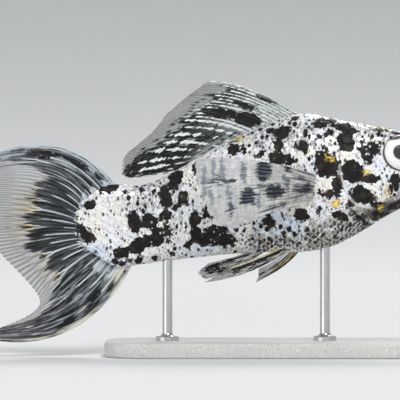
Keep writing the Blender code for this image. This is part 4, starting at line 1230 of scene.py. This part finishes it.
def eye_material():
    """A pale iris with a thin dark rim round a black pupil, under a wet surface."""
    material, graph, surface = new_material("iris")
    radial, border, turn, height = graph.attributes("radial", "border", "turn", "above")
    fibres = graph.node("ShaderNodeCombineXYZ", {"X": graph.times(turn, 9.0), "Y": radial}).outputs[0]
    streak = graph.noise(fibres, 1.6, 3, 0.6)
    iris = graph.mix(graph.soft(streak, 0.35, 0.7), IRIS_DULL, IRIS_PALE)
    shadow = graph.times(graph.soft(height, 0.58, 0.70), graph.soft(border, 2.45, 2.7))
    shadow = graph.times(shadow, graph.soft(border, 3.42, 3.28))
    iris = graph.tint(iris, IRIS_SHADOW, shadow, 0.96)
    iris = graph.mix(graph.soft(border, 3.46, 3.53), iris, graph.mix(height, RIM_BELOW, RIM_ABOVE))
    uneven = graph.vary(radial, streak, 0.12)
    halo = graph.mix(graph.soft(uneven, PUPIL_RADIUS, PUPIL_RADIUS + 0.28), PUPIL_HALO, iris)
    black = graph.soft(uneven, PUPIL_RADIUS + 0.06, PUPIL_RADIUS - 0.06)
    graph.fill(surface, {
        "Base Color": graph.mix(black, halo, PUPIL_BLACK),
        "Roughness": graph.scaled(streak, 0.1, 0.25),
        "Specular IOR Level": 0.12,
        "Coat Weight": graph.scaled(black, -0.3, 0.4),
        "Coat Roughness": 0.05,
    })
    return material


def cornea_material():
    """Clear and wet; it's mostly seen by what it mirrors."""
    material, graph, surface = new_material("cornea")
    veil = graph.noise(graph.coordinates(), 500)
    graph.fill(surface, {
        "Base Color": graph.mix(veil, (0.90, 0.93, 0.95), (1.0, 1.0, 1.0)),
        "Roughness": graph.scaled(veil, 0.03, 0.01),
        "IOR": 1.3,
        "Alpha": graph.scaled(veil, 0.04, 0.03),
    })
    return material


def eye(side, iris, cornea):
    """An eyeball with a raised pupil and a clear dome over it, turned a little up and forward."""
    label = "left" if side > 0 else "right"
    x, z = EYE_PLACE
    y = side * (half_width(x, z) - EYE_SINK)
    pieces = ((f"eyeball_{label}", iris, [f"eye_{label}"]), (f"cornea_{label}", cornea, []))
    for title, finish, nodes in pieces:
        obj = new_object(bpy.ops.mesh.primitive_uv_sphere_add, title, segments=64, ring_count=40, radius=1.0)
        ball = np.zeros(len(obj.data.vertices) * 3, np.float32)
        obj.data.vertices.foreach_get("co", ball)
        a, b, c = ball.reshape(-1, 3).T
        away = np.hypot(a * EYE_RADIUS - PUPIL_SHIFT[0], b * EYE_RADIUS + side * PUPIL_SHIFT[1])
        border = np.hypot(a, b) * EYE_RADIUS
        front = c > 0
        if finish is iris:
            bulge = PUPIL_RELIEF * bell(away, 1.5) * front
        else:
            bulge = DOME_RELIEF * bell(away, 2.0) * front + DOME_GAP * front + DOME_BACK_RELIEF * ~front
        keep_attributes(obj, {
            "radial": np.where(front, away, 2 * EYE_RADIUS),
            "border": np.where(front, border, 2 * EYE_RADIUS - border),
            "turn": np.abs(np.arctan2(b, a)),
            "above": np.clip(-side * b, 0, 1),
        })
        rise = np.where(front, np.sqrt(1 - np.clip(np.hypot(a, b), 0, 1) ** EYE_FULLNESS), c)
        move_vertices(obj, np.stack([a * EYE_RADIUS, b * EYE_RADIUS, rise * EYE_DEPTH + bulge], axis=1))
        obj.rotation_euler = (-side * (math.pi / 2 - EYE_TILT), 0, -side * EYE_TURN)
        obj.location = (x * MM, y * MM, z * MM)
        keep_place(obj)
        dress(obj, finish, "eye", *nodes)


# Stand
BASE_CORNER = 10.0
BASE_EDGE = 0.5
ROD_RADIUS = 1.0
ROD_EDGE = 0.15
ROD_REACH = 0.9
COLLAR_RADIUS = 2.3
COLLAR_HEIGHT = 0.9
COLLAR_FILLET = 0.8
STONE_DARK = (0.52, 0.51, 0.49)
STONE_LIGHT = (0.66, 0.65, 0.62)
GRAIN_DARK = (0.34, 0.33, 0.32)
GRAIN_LIGHT = (0.80, 0.79, 0.77)
STEEL_DARK = (0.50, 0.50, 0.51)
STEEL_LIGHT = (0.68, 0.68, 0.69)


def base_material():
    """Honed pale stone with fine grains and a faint cloud."""
    material, graph, surface = new_material("honed_stone")
    place = graph.coordinates()
    cloud = graph.noise(place, 60, 4, 0.55)
    grain = graph.noise(place, 2400)
    colour = graph.mix(cloud, STONE_DARK, STONE_LIGHT)
    colour = graph.mix(graph.soft(grain, 0.58, 0.72), colour, GRAIN_DARK)
    colour = graph.mix(graph.cloud(place, 1700, 0.62, 0.74), colour, GRAIN_LIGHT)
    graph.fill(surface, {
        "Base Color": colour,
        "Roughness": graph.scaled(cloud, 0.2, 0.38),
        "Normal": graph.bump(grain, 0.2, 0.1),
    })
    return material


def rod_material():
    """Steel brushed along its length."""
    material, graph, surface = new_material("brushed_rod")
    lines = graph.noise(graph.stretch(graph.coordinates(), (1.0, 1.0, 0.04)), 5200)
    graph.fill(surface, {
        "Base Color": graph.mix(lines, STEEL_DARK, STEEL_LIGHT),
        "Metallic": 1.0,
        "Roughness": graph.scaled(lines, 0.2, 0.2),
        "Normal": graph.bump(lines, 0.15, 0.05),
    })
    return material


def stand_base(material):
    """The base's box with rounded upright corners, then softened top and bottom edges."""
    low, high = (np.array(corner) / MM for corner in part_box("stand_base"))
    obj = new_object(bpy.ops.mesh.primitive_cube_add, "plinth", size=1, location=(low + high) / 2 * MM,
                     scale=(high - low) * MM)
    keep_place(obj)
    for upright, width, segments in ((True, BASE_CORNER, 16), (False, BASE_EDGE, 4)):
        bpy.ops.object.mode_set(mode="EDIT")
        bpy.ops.mesh.select_all(action="DESELECT")
        bpy.ops.mesh.select_mode(type="EDGE")
        cage = bmesh.from_edit_mesh(obj.data)
        for edge in cage.edges:
            a, b = edge.verts
            if upright:
                edge.select = abs(a.co.z - b.co.z) > 1e-4
            else:
                flat = [abs(face.normal.z) > 0.9 for face in edge.link_faces]
                edge.select = any(flat) and not all(flat)
        cage.select_flush_mode()
        bmesh.update_edit_mesh(obj.data)
        bpy.ops.mesh.bevel(offset=width * MM, segments=segments, affect="EDGES")
        bpy.ops.object.mode_set(mode="OBJECT")
    dress(obj, material, "stand_base", "stand_base")
    bpy.ops.object.shade_smooth_by_angle(angle=math.radians(35))


def stand_rod(label, material):
    """A turned rod with a collar at its foot."""
    low, high = (np.array(corner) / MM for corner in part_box(f"stand_rod_{label}"))
    foot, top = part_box("stand_base")[1][2] / MM, high[2] + ROD_REACH
    x, y = (low[:2] + high[:2]) / 2
    shoulder = foot + COLLAR_HEIGHT
    # Radius and height of the rod's outline, from its top down
    profile = [(ROD_RADIUS - ROD_EDGE, top), (ROD_RADIUS, top - ROD_EDGE)]
    for k in range(9):
        angle = math.pi / 2 * k / 8
        profile.append((ROD_RADIUS + COLLAR_FILLET * (1 - math.cos(angle)),
                        shoulder + COLLAR_FILLET * (1 - math.sin(angle))))
    profile += [(COLLAR_RADIUS - ROD_EDGE, shoulder), (COLLAR_RADIUS, shoulder - ROD_EDGE),
                (COLLAR_RADIUS, foot)]
    obj = new_object(bpy.ops.mesh.primitive_circle_add, f"rod_{label}", vertices=48, fill_type="NGON",
                     radius=profile[0][0] * MM, location=(x * MM, y * MM, profile[0][1] * MM))
    keep_place(obj)
    bpy.ops.object.mode_set(mode="EDIT")
    bpy.ops.mesh.select_all(action="SELECT")
    for (wide, height), (next_wide, next_height) in zip(profile, profile[1:]):
        rise = (next_height - height) * MM
        bpy.ops.mesh.extrude_region_move(TRANSFORM_OT_translate={"value": (0, 0, rise)})
        grow = next_wide / wide
        bpy.ops.transform.resize(value=(grow, grow, 1), center_override=(x * MM, y * MM, next_height * MM))
    bpy.ops.object.mode_set(mode="OBJECT")
    close_mesh(obj)
    dress(obj, material, "stand_rod", f"stand_rod_{label}")
    bpy.ops.object.shade_smooth_by_angle(angle=math.radians(40))


# Stage
VIEW_CENTRE = (-14.0, 31.1)
VIEW_DISTANCE = 666.7
LENS = 300.0
SENSOR = 36.0
FLOOR_RADIUS = 900.0
FLOOR_GAP = 0.02
RIM_REACH = 1900.0
RIM_HEIGHT = 1300.0
FLOOR_GREY = (0.76, 0.76, 0.75)
SOFT_BLUE = (0.95, 0.97, 1.0)
AIR = (0.86, 0.90, 0.95)


def backdrop():
    """A wide pale floor whose rim curves up all round, so that every side has the same quiet background."""
    profile = [(0.0, 0.0), (400.0, 0.0), (FLOOR_RADIUS, 0.0)]
    for k in range(1, 17):
        angle = math.pi / 2 * k / 16
        profile.append((FLOOR_RADIUS + RIM_REACH * math.sin(angle), RIM_HEIGHT * (1 - math.cos(angle))))
    turns = np.linspace(0, 2 * np.pi, 97)
    points = np.array([[(r * math.cos(t), r * math.sin(t), z - FLOOR_GAP) for t in turns]
                       for r, z in profile])
    obj = grid_piece("sweep", points)
    close_mesh(obj, weld=True)
    bpy.ops.object.shade_smooth()
    material, graph, surface = new_material("pale_sweep")
    graph.fill(surface, {"Base Color": FLOOR_GREY, "Roughness": 0.9})
    obj.data.materials.append(material)


def light(name, place, size, power, colour=(1, 1, 1)):
    """A round lamp at the place, turned towards the fish."""
    lamp = new_object(bpy.ops.object.light_add, name, type="AREA", location=tuple(c * MM for c in place))
    lamp.data.shape = "DISK"
    lamp.data.size = size * MM
    lamp.data.energy = power
    lamp.data.color = colour
    toward = np.array((VIEW_CENTRE[0], 0, VIEW_CENTRE[1])) - np.array(place, float)
    flat = math.hypot(toward[0], toward[1])
    lamp.rotation_euler = (math.atan2(flat, -toward[2]), 0, math.atan2(toward[1], toward[0]) - math.pi / 2)


def studio():
    backdrop()
    light("key", (300, -1300, 1300), size=700, power=17.0)
    light("fill", (-1200, -1000, 250), size=1000, power=8.5, colour=SOFT_BLUE)
    light("rim", (200, 1000, 1200), size=700, power=9.0)
    world = bpy.data.worlds.new("studio")
    world.use_nodes = True
    background = world.node_tree.nodes["Background"].inputs
    Graph(world.node_tree).fill(background, {"Color": AIR, "Strength": 0.47})
    bpy.context.scene.world = world
    camera = new_object(bpy.ops.object.camera_add, "camera", rotation=(math.pi / 2, 0, 0),
                        location=(VIEW_CENTRE[0] * MM, -VIEW_DISTANCE * MM, VIEW_CENTRE[1] * MM))
    camera.data.lens = LENS
    camera.data.sensor_width = SENSOR
    camera.data.clip_start = 0.005
    bpy.context.scene.camera = camera
    bpy.context.scene.view_settings.view_transform = "Standard"


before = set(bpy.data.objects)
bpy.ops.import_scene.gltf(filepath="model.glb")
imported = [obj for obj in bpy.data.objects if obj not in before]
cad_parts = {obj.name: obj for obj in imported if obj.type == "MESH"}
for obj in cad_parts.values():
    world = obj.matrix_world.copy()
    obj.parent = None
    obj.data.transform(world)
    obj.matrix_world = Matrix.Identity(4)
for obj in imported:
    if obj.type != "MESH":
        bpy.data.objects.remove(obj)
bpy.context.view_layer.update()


def main():
    ragged = ragged_group()
    specks = specks_group()
    skin = skin_material(ragged, specks)
    body_skin(skin)
    body_scales(skin)
    dorsal_fin(fin_material("sail_membrane", dash=1.5, web_alpha=0.35))
    tail_fin(fin_material("tail_membrane", dash=7.0, web_alpha=0.22, light=CHALK_BLUE, on_rays=True))
    clear = pectoral_material()
    for side in (1, -1):
        pectoral_fin(side, clear)
    belly = fin_material("belly_membrane", dash=2.2, web_alpha=0.3, light=BONE)
    pelvic_fins(belly)
    anal_fin(belly)
    iris, cornea = eye_material(), cornea_material()
    for side in (1, -1):
        eye(side, iris, cornea)
    stand_base(base_material())
    steel = rod_material()
    for label in ("front", "rear"):
        stand_rod(label, steel)
    studio()


main()
